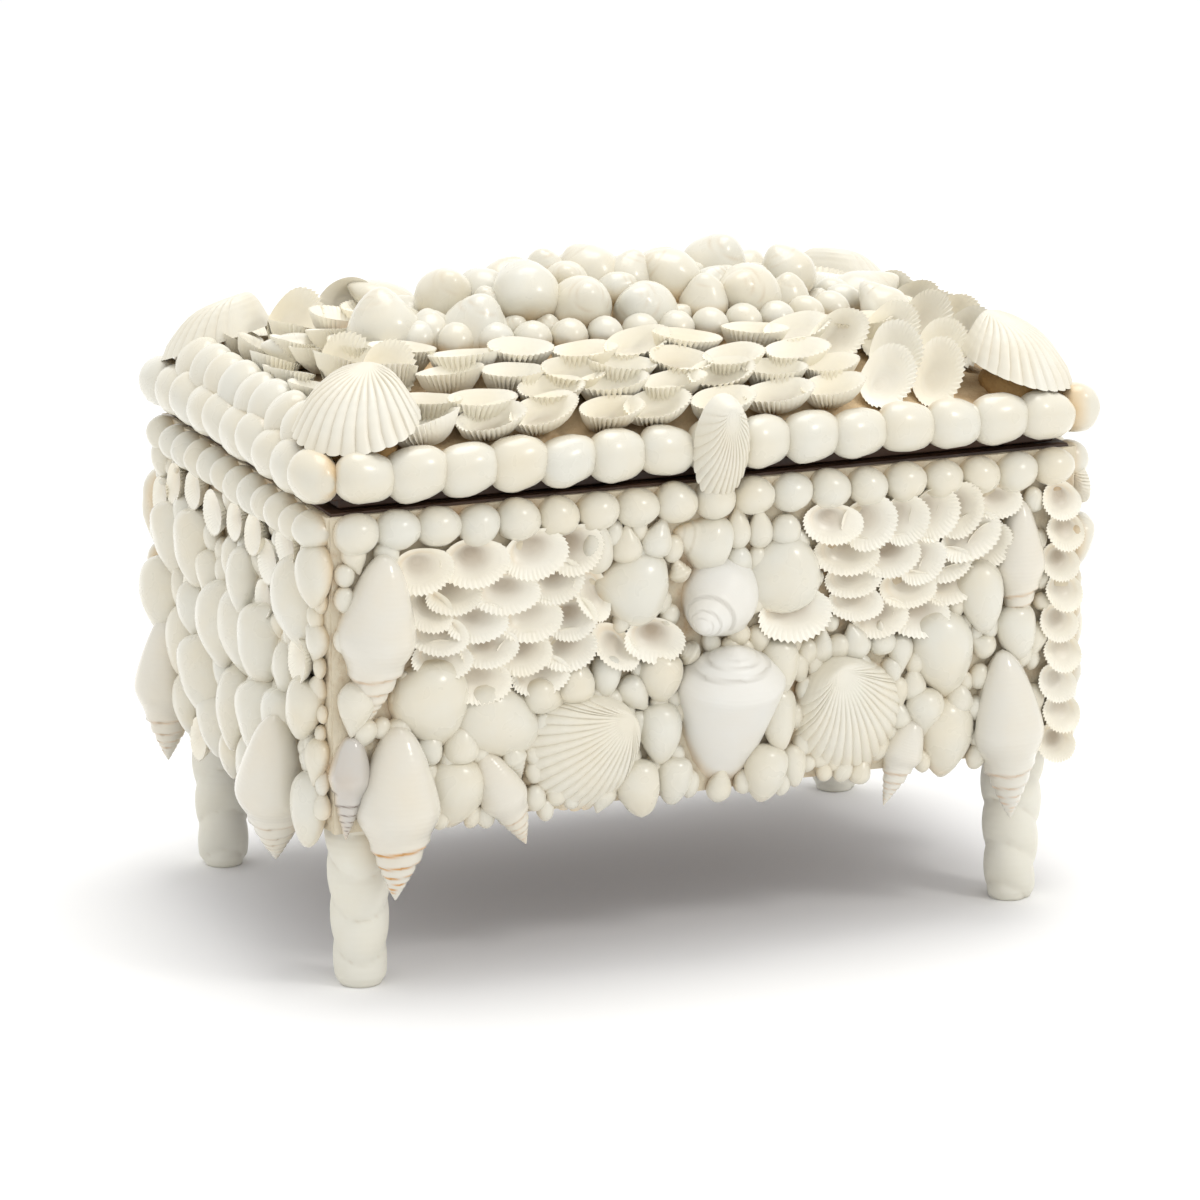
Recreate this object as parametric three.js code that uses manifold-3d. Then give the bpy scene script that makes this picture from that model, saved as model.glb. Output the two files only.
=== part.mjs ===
// A footed keepsake box covered in white sea shells, in millimetres, +Z up, front towards -Y.
// A hollow wooden case stands on four turret-shell legs. A lift-off lid with a domed top rests on
// its rim. Rows of bead shells edge both, and larger shells are set on the walls and the crown.
// The origin is on the ground under the middle of the box.
import * as THREE from 'three';
import { ParametricGeometry } from 'three/addons/geometries/ParametricGeometry.js';
import { mergeVertices } from 'three/addons/utils/BufferGeometryUtils.js';
import Module from 'manifold-3d';

const wasm = await Module();
wasm.setup();

// Driving dimensions
const CASE_WIDTH = 264;
const CASE_DEPTH = 166;
const LEG_HEIGHT = 56;
const CASE_HEIGHT = 106;
const WALL = 8;
const GAP = 0.3; // between neighbouring pieces

// The lid
const LID_EDGE = 14; // height of the lid's straight edge
const LID_RISE = 20; // from the edge up to the bead ring
const LIP_DEPTH = 4; // the locating lip that drops inside the case
const LIP_CLEARANCE = 1;
const LIP_BOND = 1; // how far the lip runs up into the lid's board
const SHADOW_GAP_LEFT = 3.6; // rebate under the lid's edge, which narrows from left to right
const SHADOW_GAP_RIGHT = 1.6;
const REBATE = 4;
const EDGE_INSET = 2; // from the lid's edge to where its slope starts
const EDGE_SQUARENESS = 9; // of the slope's outline at the edge
const SLOPE_CURVE = 0.85; // below 1 the slope is steepest at the edge
const SLOPE_RINGS = [1, 0.66, 0.33, 0]; // outlines that shape the slope, from the ring to the edge
const SLOPE_SLICES = 28;
const RING = { halfLength: 83, halfDepth: 32, squareness: 2.8, beads: 31 };
const RING_STEPS = 48; // points that draw the ring's path
const CROWN = { halfLength: 73, halfDepth: 23.5, squareness: 2.8, rise: 13 };
const CROWN_FOOT = 0.8; // share of the crown's profile that lies above its foot
const CROWN_ROOT = 2; // how deep the crown's foot is let into the slope's top
const CROWN_FULLNESS = 0.7; // below 1 the crown's shoulders are fuller than a dome's
const CORNER = { inX: 14, inY: 13, lift: 11.5, lean: 20 }; // cockles over the lid's corners
const CROWN_SHELL = { lift: 3, lean: 62, slenderness: 1.1 }; // moon shells bedded in the crown

// The legs
const LEG_INSET = 12.5; // from the case's sides to a leg's axis
const LEG_TOP_RADIUS = 11.5;
const LEG_FOOT_RADIUS = 8;
const LEG_WHORL = 15; // height of one whorl
const LEG_SUTURE = 0.86; // radius in the groove between two whorls, as a share of the full radius
const LEG_END = 0.93; // radius at both cut ends, as a share of the full radius
const LEG_SLICES = 8;
const LEG_BANDS = 13;

// The bead rows
const CASE_BEAD = { across: 14.8, tall: 13.8, proud: 10 };
const LID_BEAD = { across: 18.4, tall: 18.4, proud: 13 };
const RING_BEAD = { tall: 12.6, proud: 10.5 };
const BEAD_LAP = 0.5; // how far neighbouring beads in a row run into each other
const RING_LAP = 1.2; // the same for the beads of the ring
const LID_BEAD_LIFT = 2; // from the lid's underside to its beads
const BEAD_COUNTS = [
  { face: 'front', caseCount: 19, lidCount: 15 },
  { face: 'back', caseCount: 19, lidCount: 15 },
  { face: 'left', caseCount: 12, lidCount: 10 },
  { face: 'right', caseCount: 12, lidCount: 10 },
];

// The larger valves
const COCKLE = { width: 41, height: 38, depth: 12.5, ribs: 8, wall: 2.4 };
const CLASP = { width: 19, height: 34, depth: 9, ribs: 5 };
const CLASP_Z = 173;
const UMBO_SHARE = 0.16; // how far the umbo stands in from the hinge, as a share of the height
const RIB_RELIEF = 0.05; // how far the ribs stand out, as a share of the radius
const HINGE_SLICES = 6; // slices round the hinge, which carries no ribs
const VALVE_FULLNESS = 1.5; // above 1 the valve's back is fuller than a dome's
const POLE = 0.99; // past this share of a closed surface's height lies its last pole

const HALF_W = CASE_WIDTH / 2;
const HALF_D = CASE_DEPTH / 2;
const FLOOR_Z = LEG_HEIGHT;
const RIM_Z = LEG_HEIGHT + CASE_HEIGHT;
const LID_Z = RIM_Z + GAP;
const LID_TOP_Z = LID_Z + LID_EDGE;
const CASE_BEAD_Z = RIM_Z - CASE_BEAD.tall / 2;
const LID_BEAD_Z = LID_Z + LID_BEAD_LIFT + LID_BEAD.tall / 2;

const shellWhite = new THREE.MeshStandardMaterial({ color: 0xf3efe4, roughness: 0.32, metalness: 0 });
const plasterCream = new THREE.MeshStandardMaterial({ color: 0xe6dcc4, roughness: 0.85, metalness: 0 });
const legIvory = new THREE.MeshStandardMaterial({ color: 0xece5d2, roughness: 0.4, metalness: 0 });

const box = new THREE.Group();

// ---- Solids: closed geometry to and from manifold-3d ----

// The geometry with its seams and poles joined up, ready to become a solid.
function welded(geometry) {
  const bare = new THREE.BufferGeometry().setAttribute('position', geometry.getAttribute('position'));
  bare.setIndex(geometry.index);
  const merged = mergeVertices(bare, 1e-3);
  const corners = Array.from(merged.index.array);
  const kept = [];
  for (let i = 0; i < corners.length; i += 3) {
    const [a, b, c] = corners.slice(i, i + 3);
    if (a !== b && b !== c && a !== c) kept.push(a, b, c);
  }
  return merged.setIndex(kept);
}

function solidOf(geometry) {
  return new wasm.Manifold(new wasm.Mesh({
    numProp: 3,
    vertProperties: new Float32Array(geometry.attributes.position.array),
    triVerts: new Uint32Array(geometry.index.array),
  }));
}

function geometryOf(solid) {
  const mesh = solid.getMesh();
  const geometry = new THREE.BufferGeometry();
  geometry.setAttribute('position', new THREE.BufferAttribute(new Float32Array(mesh.vertProperties), 3));
  geometry.setIndex(new THREE.BufferAttribute(new Uint32Array(mesh.triVerts), 1));
  geometry.computeVertexNormals();
  return geometry;
}

function largestBody(solid) {
  return solid.decompose().reduce((a, b) => (b.volume() > a.volume() ? b : a));
}

function boxSolid(from, to) {
  const size = to.map((high, i) => high - from[i]);
  const shape = new THREE.BoxGeometry(...size);
  shape.translate(...from.map((low, i) => low + size[i] / 2));
  return solidOf(welded(shape));
}

// The same geometry, grown by GAP on every side, for cutting a neighbour clear of it.
function grown(geometry) {
  geometry.computeBoundingBox();
  const size = geometry.boundingBox.getSize(new THREE.Vector3());
  const centre = geometry.boundingBox.getCenter(new THREE.Vector3());
  const factor = [size.x, size.y, size.z].map((side) => (side + 2 * GAP) / side);
  return geometry.clone().translate(-centre.x, -centre.y, -centre.z)
    .scale(...factor).translate(centre.x, centre.y, centre.z);
}

function addMesh(name, geometry, material) {
  const mesh = new THREE.Mesh(geometry, material);
  mesh.name = name;
  box.add(mesh);
  return mesh;
}

// ---- Shell forms: local +X across, +Y towards the apex or hinge, +Z away from the wall ----

// A closed surface from a rule: u runs once round it and v from one pole to the other.
function closedForm(rule, slices, stacks) {
  const at = (u, v, target) => target.set(...rule(2 * Math.PI * u, v));
  return welded(new ParametricGeometry(at, slices, stacks));
}

// A bead or bubble shell bedded in plaster: the outer half of an egg, flat where it is set down.
function beadForm({ across, tall, proud, slices = 6, bands = 2 }) {
  return closedForm((angle, v) => {
    const polar = (Math.PI / 2) * Math.min(1, (v * (bands + 1)) / bands);
    const ring = v > POLE ? 0 : Math.sin(polar);
    return [
      ring * (across / 2) * Math.cos(angle),
      -ring * (tall / 2) * Math.sin(angle),
      proud * Math.cos(polar)];
  }, slices, bands + 1);
}

// A spiral shell standing on its mouth end, with `shoulder` the share of its length below its widest
// whorl. `spire` is the spire's width at its foot as a share of the shoulder's, and `taper` says how
// fast the body narrows towards its mouth.
function spiralForm({ width, length, shoulder, spire, taper, slices = 9, stacks = 7 }) {
  return closedForm((angle, v) => {
    const body = Math.sin((Math.PI / 2) * Math.min(1, v / shoulder)) ** taper;
    const up = Math.max(0, (v - shoulder) / (1 - shoulder));
    const whorl = THREE.MathUtils.lerp(1, spire, Math.min(1, 3 * up)) * (1 - up) ** 0.8;
    const radius = (width / 2) * (v < shoulder ? body : whorl);
    return [radius * Math.cos(angle), (v - 0.5) * length, -radius * Math.sin(angle)];
  }, slices, stacks);
}

// A ribbed fan valve. Every growth line is the margin's outline shrunk towards the hinge at +Y. It is
// filled behind or, given a wall thickness, hollow like a dish.
function valveForm({ width, height, depth, ribs, wall = 0, bands = 3 }) {
  const slices = 2 * ribs + HINGE_SLICES;
  const inner = wall > 0 ? 2 : 1;
  return closedForm((angle, v) => {
    const band = Math.round(v * (bands + inner));
    const under = band > bands;
    const ring = under ? 1 - (band - bands) / inner : band / bands;
    const faded = Math.max(0, Math.cos(angle / 2) ** 2 - 0.1);
    const rib = 1 + RIB_RELIEF * faded * ring * Math.cos((slices / 2) * angle);
    const hinge = height / 2 - (UMBO_SHARE * height + (under ? wall : 0)) * (1 - ring);
    const dome = depth * Math.cos((Math.PI / 2) * ring ** VALVE_FULLNESS);
    const z = under ? Math.max(0, wall > 0 ? dome - wall : 0) : dome;
    return [
      -ring * rib * (width / 2) * Math.sin(angle),
      hinge - ring * rib * (height / 2) * (1 + Math.cos(angle)),
      ring === 1 ? 0 : z];
  }, slices, bands + inner);
}

// ---- Faces of the box: where a shell's local frame is set down ----

const FACES = {
  front: { right: [1, 0, 0], up: [0, 0, 1], out: [0, -1, 0], reach: HALF_D },
  back: { right: [-1, 0, 0], up: [0, 0, 1], out: [0, 1, 0], reach: HALF_D },
  left: { right: [0, -1, 0], up: [0, 0, 1], out: [-1, 0, 0], reach: HALF_W },
  right: { right: [0, 1, 0], up: [0, 0, 1], out: [1, 0, 0], reach: HALF_W },
};

// Local frame to box frame, at `across` and `height` on the face, turned in its plane by `spin`
// degrees and leaning its apex outwards by `lean` degrees.
function onFace(face, across, height, { spin = 0, lean = 0, out = 0 } = {}) {
  const [right, up, normal] = [face.right, face.up, face.out].map((axis) => new THREE.Vector3(...axis));
  const frame = new THREE.Matrix4().makeBasis(right, up, normal);
  const place = new THREE.Vector3().addScaledVector(right, across).addScaledVector(up, height)
    .addScaledVector(normal, face.reach + out);
  return frame.setPosition(place)
    .multiply(new THREE.Matrix4().makeRotationZ(THREE.MathUtils.degToRad(spin)))
    .multiply(new THREE.Matrix4().makeRotationX(THREE.MathUtils.degToRad(lean)));
}

// ---- Setting pieces: each is cut clear of the carcass and of the pieces set before it ----

const setPieces = [];

function setPiece(name, geometries, material) {
  const whole = geometries.map(solidOf).reduce((a, b) => a.add(b));
  const reach = new THREE.Box3();
  for (const geometry of geometries) {
    geometry.computeBoundingBox();
    reach.union(geometry.boundingBox);
  }
  let solid = whole;
  for (const earlier of setPieces) {
    if (reach.intersectsBox(earlier.reach)) solid = solid.subtract(earlier.clear);
  }
  const clear = geometries.map((geometry) => solidOf(grown(geometry))).reduce((a, b) => a.add(b), whole);
  setPieces.push({ reach: reach.expandByScalar(GAP), clear });
  addMesh(name, welded(geometryOf(largestBody(solid))), material);
}

// ---- The case, the lid and the legs ----

function addCase() {
  const outside = boxSolid([-HALF_W, -HALF_D, FLOOR_Z], [HALF_W, HALF_D, RIM_Z]);
  const inside = boxSolid(
    [-HALF_W + WALL, -HALF_D + WALL, FLOOR_Z + WALL], [HALF_W - WALL, HALF_D - WALL, RIM_Z + WALL]);
  addMesh('case_body', geometryOf(outside.subtract(inside)), plasterCream);
}

// A point of a rounded rectangle at an angle round it.
function superellipse(angle, halfLength, halfDepth, squareness) {
  const [c, s] = [Math.cos(angle), Math.sin(angle)];
  const reach = (Math.abs(c) ** squareness + Math.abs(s) ** squareness) ** (-1 / squareness);
  return [halfLength * reach * c, halfDepth * reach * s];
}

// The lid's sloping plaster: from its edge (t = 0) up to the bead ring (t = 1).
function slopePoint(angle, t) {
  const edge = superellipse(angle, HALF_W - EDGE_INSET, HALF_D - EDGE_INSET, EDGE_SQUARENESS);
  const ring = superellipse(angle, RING.halfLength, RING.halfDepth, RING.squareness);
  const place = [0, 1].map((i) => THREE.MathUtils.lerp(edge[i], ring[i], t));
  return [...place, LID_TOP_Z + LID_RISE * t ** SLOPE_CURVE];
}

function slopeForm() {
  const bands = SLOPE_RINGS.length + 1;
  return closedForm((angle, v) => {
    const band = Math.round(v * bands);
    if (band === 0) return [0, 0, LID_TOP_Z + LID_RISE];
    if (band === bands) return [0, 0, LID_TOP_Z - LID_EDGE / 2];
    return slopePoint(-angle, SLOPE_RINGS[band - 1]);
  }, SLOPE_SLICES, bands);
}

// The low mound inside the ring.
function crownForm() {
  return closedForm((angle, v) => {
    const foot = v > POLE;
    const polar = (Math.PI / 2) * Math.min(1, v / CROWN_FOOT);
    const spread = foot ? 0 : Math.sin(polar) ** CROWN_FULLNESS;
    const [x, y] = superellipse(-angle, CROWN.halfLength, CROWN.halfDepth, CROWN.squareness);
    const rise = foot ? -CROWN_ROOT : CROWN.rise * Math.cos(polar);
    return [x * spread, y * spread, LID_TOP_Z + LID_RISE + rise];
  }, 20, 5);
}

function addLid() {
  const board = boxSolid([-HALF_W, -HALF_D, LID_Z], [HALF_W, HALF_D, LID_TOP_Z]);
  const lipX = HALF_W - WALL - LIP_CLEARANCE;
  const lipY = HALF_D - WALL - LIP_CLEARANCE;
  const lip = boxSolid([-lipX, -lipY, LID_Z - LIP_DEPTH], [lipX, lipY, LID_Z + LIP_BOND]);
  const core = [HALF_W - REBATE, HALF_D - REBATE];
  const rebate = new THREE.BoxGeometry(CASE_WIDTH + LID_EDGE, CASE_DEPTH + LID_EDGE, LID_EDGE);
  const slope = Math.atan2(SHADOW_GAP_LEFT - SHADOW_GAP_RIGHT, CASE_WIDTH);
  const middleGap = (SHADOW_GAP_LEFT + SHADOW_GAP_RIGHT) / 2;
  rebate.translate(0, 0, -LID_EDGE / 2).rotateY(slope).translate(0, 0, LID_Z + middleGap);
  const kept = boxSolid([-core[0], -core[1], LID_Z - 2 * LID_EDGE], [core[0], core[1], LID_TOP_Z]);
  const solid = board.subtract(solidOf(welded(rebate)).subtract(kept)).add(lip)
    .add(solidOf(slopeForm())).add(solidOf(crownForm()));
  addMesh('lid_panel', geometryOf(solid), plasterCream);
}

// A turret shell cut flat at both ends. Its suture winds round it once for every whorl.
function legForm() {
  const topZ = LEG_HEIGHT - GAP;
  return closedForm((angle, v) => {
    const band = Math.round(v * LEG_BANDS);
    const side = THREE.MathUtils.clamp((band - 1) / (LEG_BANDS - 2), 0, 1);
    const capped = band === 0 || band === LEG_BANDS ? 0 : 1;
    const turn = (side * (topZ / LEG_WHORL) - angle / (2 * Math.PI) + 2) % 1;
    const swell = THREE.MathUtils.lerp(LEG_SUTURE, 1, Math.sin(Math.PI * turn) ** 0.6);
    const blend = Math.min(1, 6 * side, 6 * (1 - side));
    const taper = THREE.MathUtils.lerp(LEG_FOOT_RADIUS, LEG_TOP_RADIUS, side);
    const radius = capped * taper * THREE.MathUtils.lerp(LEG_END, swell, blend);
    return [radius * Math.cos(angle), radius * Math.sin(angle), topZ * side];
  }, LEG_SLICES, LEG_BANDS);
}

function addLegs() {
  for (const [end, y] of [['front', -1], ['back', 1]]) {
    for (const [side, x] of [['left', -1], ['right', 1]]) {
      const leg = addMesh(`leg_${end}_${side}`, geometryOf(solidOf(legForm())), legIvory);
      leg.position.set(x * (HALF_W - LEG_INSET), y * (HALF_D - LEG_INSET), 0);
      leg.rotation.z = x * y < 0 ? 0 : Math.PI;
    }
  }
}

// ---- Bead rows ----

function beadRow(name, face, bead, count, height) {
  const pitch = bead.across - 2 * BEAD_LAP;
  const beads = [];
  for (let i = 0; i < count; i += 1) {
    const across = (i - (count - 1) / 2) * pitch;
    beads.push(beadForm(bead).applyMatrix4(onFace(face, across, height, { out: GAP })));
  }
  setPiece(name, beads, shellWhite);
}

// The oval ring of beads at the foot of the crown.
function beadRing() {
  const outline = [];
  for (let i = 0; i < RING_STEPS; i += 1) {
    const angle = (2 * Math.PI * i) / RING_STEPS;
    const [x, y] = superellipse(angle, RING.halfLength, RING.halfDepth, RING.squareness);
    outline.push(new THREE.Vector3(x, y, LID_TOP_Z + LID_RISE + 2 * GAP));
  }
  const path = new THREE.CatmullRomCurve3(outline, true);
  const across = path.getLength() / RING.beads + RING_LAP;
  const beads = path.getSpacedPoints(RING.beads).slice(1).map((place, i) => {
    const along = path.getTangentAt((i + 1) / RING.beads);
    return beadForm({ ...RING_BEAD, across })
      .rotateZ(Math.atan2(along.y, along.x)).translate(place.x, place.y, place.z);
  });
  setPiece('lid_bead_ring', beads, shellWhite);
}

// ---- Larger shells ----

const CONCH = { shoulder: 0.56, spire: 0.78, taper: 0.62 };
const MOON = { shoulder: 0.58, spire: 0.72, taper: 0.5, slices: 8, stacks: 6 };
const VASE = { shoulder: 0.74, spire: 0.75, taper: 0.4, slices: 11 };

// Shells on a wall: name, form, place across and up the face, and how it is turned and set out.
function wallShells(face, rows) {
  for (const [name, form, across, height, pose] of rows) {
    setPiece(name, [form.applyMatrix4(onFace(FACES[face], across, height, pose))], shellWhite);
  }
}

function conch(width, length) {
  return spiralForm({ width, length, ...CONCH });
}

function moon(width, length) {
  return spiralForm({ width, length, ...MOON });
}

function bubble(across, tall, proud = 9) {
  return beadForm({ across, tall, proud, slices: 8, bands: 3 });
}

function scallop(width, height, depth = 13) {
  return valveForm({ width, height, depth, ribs: 8 });
}

function addFrontShells() {
  wallShells('front', [
    ['front_vase_shell', spiralForm({ width: 38, length: 52, ...VASE }),
      4, 81, { out: 3, lean: 6 }],
    ['front_moon_shell', moon(27, 31), -1, 120, { spin: 118, out: 3 }],
    ['front_moon_shell_small', moon(17, 20), -5, 142.5, { spin: 70, out: 2 }],
    ['front_scallop_left', scallop(42, 41), -47, 76, { spin: -52, out: 0.5 }],
    ['front_scallop_right', scallop(42, 43), 48.5, 78, { spin: 22, out: 0.5 }],
    ['front_conch_upper_left', conch(25, 56), -118.5, 120, { spin: 174, out: 3 }],
    ['front_conch_lower_left', conch(27, 56), -112, 62, { spin: 178, out: 5 }],
    ['front_conch_upper_right', conch(18, 46), 112, 122, { spin: 180, out: 3 }],
    ['front_conch_lower_right', conch(24, 58), 108, 64, { spin: 184, out: 5 }],
    ['front_pearl_conch', conch(13, 34), -128, 71.5, { spin: 176, out: 3 }],
    ['front_slant_conch_left', conch(15, 36), -74, 62.5, { spin: 205, out: 3 }],
    ['front_slant_conch_right', conch(13, 30), 68, 58.5, { spin: 160, out: 3 }],
    ['front_bubble_upper_left', bubble(26, 23, 11), -29, 128.5, { spin: 10, out: 0.5 }],
    ['front_bubble_upper_right', bubble(28, 25, 11), 24, 127, { spin: -20, out: 0.5 }],
    ['front_bubble_lower_left', bubble(27, 28, 11), -99.5, 97, { out: 0.5 }],
    ['front_bubble_slant_left', bubble(31, 23, 10), -76, 88, { spin: -25, out: 0.5 }],
    ['front_bubble_square', bubble(21, 22), -92, 66.5, { out: 0.5 }],
    ['front_bubble_lower_right', bubble(21, 28, 10), 84, 95, { spin: 8, out: 0.5 }],
    ['front_bubble_foot_right', bubble(20, 26), 86, 65.5, { out: 0.5 }],
  ]);
}

// The two short walls carry the same larger shells, mirrored, so that front stays front.
function addSideShells() {
  for (const [face, way] of [['left', 1], ['right', -1]]) {
    wallShells(face, [
      [`${face}_conch_front`, conch(26, 58), way * 48, 62, { spin: 180 - way * 20, out: 7 }],
      [`${face}_conch_back`, conch(24, 54), way * -70, 66, { spin: 180 - way * 6, out: 5 }],
      [`${face}_bubble_front`, bubble(26, 30, 12), way * 63, 129, { spin: way * 12, out: 0.5 }],
      [`${face}_bubble_middle`, bubble(28, 30, 12), way * 8, 106, { spin: way * 12, out: 0.5 }],
    ]);
  }
}

function addBackShells() {
  wallShells('back', [
    ['back_moon_shell', moon(35, 38), 0, 112, { spin: 118, out: 5.5 }],
    ['back_scallop_left', scallop(42, 41), 46, 77, { spin: 45, out: 0.5 }],
    ['back_scallop_right', scallop(42, 41), -46, 77, { spin: -45, out: 0.5 }],
    ['back_conch_left', conch(25, 58), 112, 66, { spin: 184, out: 5 }],
    ['back_conch_right', conch(25, 58), -112, 66, { spin: 176, out: 5 }],
  ]);
}

// Set down above the lid at (x, y, z): turned about the upright, then leaning its apex or hinge up.
function onLid(x, y, z, turn, lean) {
  return new THREE.Matrix4().makeTranslation(x, y, z)
    .multiply(new THREE.Matrix4().makeRotationZ(THREE.MathUtils.degToRad(turn)))
    .multiply(new THREE.Matrix4().makeRotationX(THREE.MathUtils.degToRad(lean)));
}

function addCornerCockles() {
  for (const [end, y] of [['front', -1], ['back', 1]]) {
    for (const [side, x] of [['left', -1], ['right', 1]]) {
      const outward = THREE.MathUtils.radToDeg(Math.atan2(y, x));
      const place = onLid(x * (HALF_W - CORNER.inX), y * (HALF_D - CORNER.inY), LID_TOP_Z + CORNER.lift,
        outward + 90, CORNER.lean);
      setPiece(`lid_cockle_${end}_${side}`, [valveForm(COCKLE).applyMatrix4(place)], shellWhite);
    }
  }
}

// The long cockle over the middle of the front, where a clasp would be.
function addClasp() {
  const place = onFace(FACES.front, 0, CLASP_Z, { spin: 180, out: 7.5, lean: 6 });
  setPiece('lid_clasp_cockle', [valveForm(CLASP).applyMatrix4(place)], shellWhite);
}

function addCrownShells() {
  // Place along and across the lid, width, and turn about the upright
  const spots = [
    [-60, 2, 22, 30],
    [-36, -9, 25, -20],
    [-33, 14, 20, 60],
    [-8, 3, 24, 150],
    [17, -6, 23, 70],
    [41, 6, 25, -40],
    [64, -1, 21, 20],
  ];
  const top = LID_TOP_Z + LID_RISE + CROWN.rise;
  spots.forEach(([x, y, size, turn], i) => {
    const place = onLid(x, y, top + CROWN_SHELL.lift, turn, CROWN_SHELL.lean);
    const shell = moon(size, size * CROWN_SHELL.slenderness);
    setPiece(`crown_moon_shell_${i + 1}`, [shell.applyMatrix4(place)], shellWhite);
  });
}

// Room that no set piece may enter: the carcass, the lid's slope and its crown.
function keepClear() {
  const carcass = [[-HALF_W - GAP, -HALF_D - GAP, 0], [HALF_W + GAP, HALF_D + GAP, LID_TOP_Z + GAP]];
  setPieces.push({
    reach: new THREE.Box3(...carcass.map((corner) => new THREE.Vector3(...corner))),
    clear: boxSolid(...carcass),
  });
  for (const form of [slopeForm(), crownForm()]) {
    const room = grown(form.translate(0, 0, GAP));
    room.computeBoundingBox();
    setPieces.push({ reach: room.boundingBox, clear: solidOf(room) });
  }
}

function buildBox() {
  addCase();
  addLid();
  addLegs();
  keepClear();
  for (const { face, caseCount, lidCount } of BEAD_COUNTS) {
    beadRow(`case_beads_${face}`, FACES[face], CASE_BEAD, caseCount, CASE_BEAD_Z);
    beadRow(`lid_beads_${face}`, FACES[face], LID_BEAD, lidCount, LID_BEAD_Z);
  }
  beadRing();
  addCornerCockles();
  addClasp();
  addFrontShells();
  addSideShells();
  addBackShells();
  addCrownShells();
}

buildBox();

export default box;
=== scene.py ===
"""A footed keepsake box covered in white sea shells.

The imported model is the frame. Each shell of the frame is replaced by a finely shaped one in the
same place, and the small shells between them are laid in here. Shell work is done in millimetres,
and every piece is brought to metres when it is finished.
"""
import logging
import math
import random
from dataclasses import dataclass, field, replace
from enum import Enum
from typing import Callable, Iterable

import bmesh
import bpy
import numpy as np
from mathutils import Matrix, Vector, noise


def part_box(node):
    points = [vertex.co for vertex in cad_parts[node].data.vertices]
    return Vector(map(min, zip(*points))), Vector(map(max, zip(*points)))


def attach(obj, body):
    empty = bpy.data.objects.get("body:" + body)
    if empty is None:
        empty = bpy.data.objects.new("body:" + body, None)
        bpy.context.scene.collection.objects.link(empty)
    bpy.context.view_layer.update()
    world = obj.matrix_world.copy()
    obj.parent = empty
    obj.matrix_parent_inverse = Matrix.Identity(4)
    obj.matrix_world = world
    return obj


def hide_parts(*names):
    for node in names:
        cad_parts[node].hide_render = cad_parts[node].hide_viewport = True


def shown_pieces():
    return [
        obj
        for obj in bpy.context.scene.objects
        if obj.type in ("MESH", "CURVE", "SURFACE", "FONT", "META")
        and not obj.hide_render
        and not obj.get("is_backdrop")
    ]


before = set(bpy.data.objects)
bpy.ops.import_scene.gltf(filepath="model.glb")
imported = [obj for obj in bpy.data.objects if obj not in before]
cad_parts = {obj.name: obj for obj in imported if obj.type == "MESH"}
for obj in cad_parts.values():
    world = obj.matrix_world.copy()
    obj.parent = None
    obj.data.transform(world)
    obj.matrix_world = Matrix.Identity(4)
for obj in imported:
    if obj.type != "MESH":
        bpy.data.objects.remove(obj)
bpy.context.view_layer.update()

logging.basicConfig(level=logging.INFO, format="%(message)s")
log = logging.getLogger("shell_box")

NOISE_SEED = 7
noise.seed_set(NOISE_SEED)

MM = 0.001
TAU = 2 * math.pi
Colour = tuple[float, float, float]
Size = tuple[float, float, float]
Shaped = tuple[Vector, float, float]
Rule = Callable[[Vector], Shaped]


def box_mm(node: str) -> tuple[Vector, Vector]:
    """Lowest and highest corner of a frame node, in millimetres."""
    low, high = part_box(node)
    return Vector(low) / MM, Vector(high) / MM


def middle_mm(node: str) -> Vector:
    """Middle of a frame node, in millimetres."""
    low, high = box_mm(node)
    return (low + high) / 2


CASE_LOW, CASE_HIGH = box_mm("case_body")
HALF_W, HALF_D, RIM_Z = CASE_HIGH
FLOOR_Z = CASE_LOW.z
LIP_Z = box_mm("lid_panel")[0].z
LID_GAP = 0.3
LID_EDGE = 14.0
LID_Z = RIM_Z + LID_GAP
LID_TOP_Z = LID_Z + LID_EDGE


def as_mesh(name: str, bm: bmesh.types.BMesh, scale: float = 1.0) -> bpy.types.Mesh:
    """Makes a mesh of a shape and lets the shape go.

    Args:
        name: name of the mesh.
        bm: the shape.
        scale: how many units of the mesh make one of the shape.

    Returns:
        The mesh.
    """
    mesh = bpy.data.meshes.new(name)
    bm.to_mesh(mesh)
    bm.free()
    mesh.transform(Matrix.Diagonal((scale, scale, scale, 1.0)))
    return mesh


def shade(mesh: bpy.types.Mesh, crease: float) -> None:
    """Shades a mesh smooth, but for edges sharper than this many degrees."""
    mesh.shade_smooth()
    mesh.set_sharp_from_angle(angle=math.radians(crease))


def as_object(name: str, data: bpy.types.ID) -> bpy.types.Object:
    """Puts a mesh, a lamp or a camera into the scene."""
    made = bpy.data.objects.new(name, data)
    bpy.context.scene.collection.objects.link(made)
    return made


def face_out(bm: bmesh.types.BMesh) -> None:
    """Turns the faces of a closed shape outwards."""
    bmesh.ops.recalc_face_normals(bm, faces=bm.faces)
    if bm.calc_volume(signed=True) < 0:
        bmesh.ops.reverse_faces(bm, faces=bm.faces[:])


def hand_over(piece: bpy.types.Object, replaces: Iterable[str] = ()) -> None:
    """Lets a piece ride with the box and stand for its frame nodes, and reports it.

    Args:
        piece: the piece.
        replaces: frame nodes that it stands for.
    """
    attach(piece, "root")
    nodes = list(replaces)
    if nodes:
        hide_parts(*nodes)
    log.info("%s: %d faces", piece.name, len(piece.data.polygons))


def smooth(low: float, high: float, value: float) -> float:
    """Goes smoothly from 0 at low to 1 at high."""
    share = min(1.0, max(0.0, (value - low) / (high - low)))
    return share * share * (3 - 2 * share)


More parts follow.
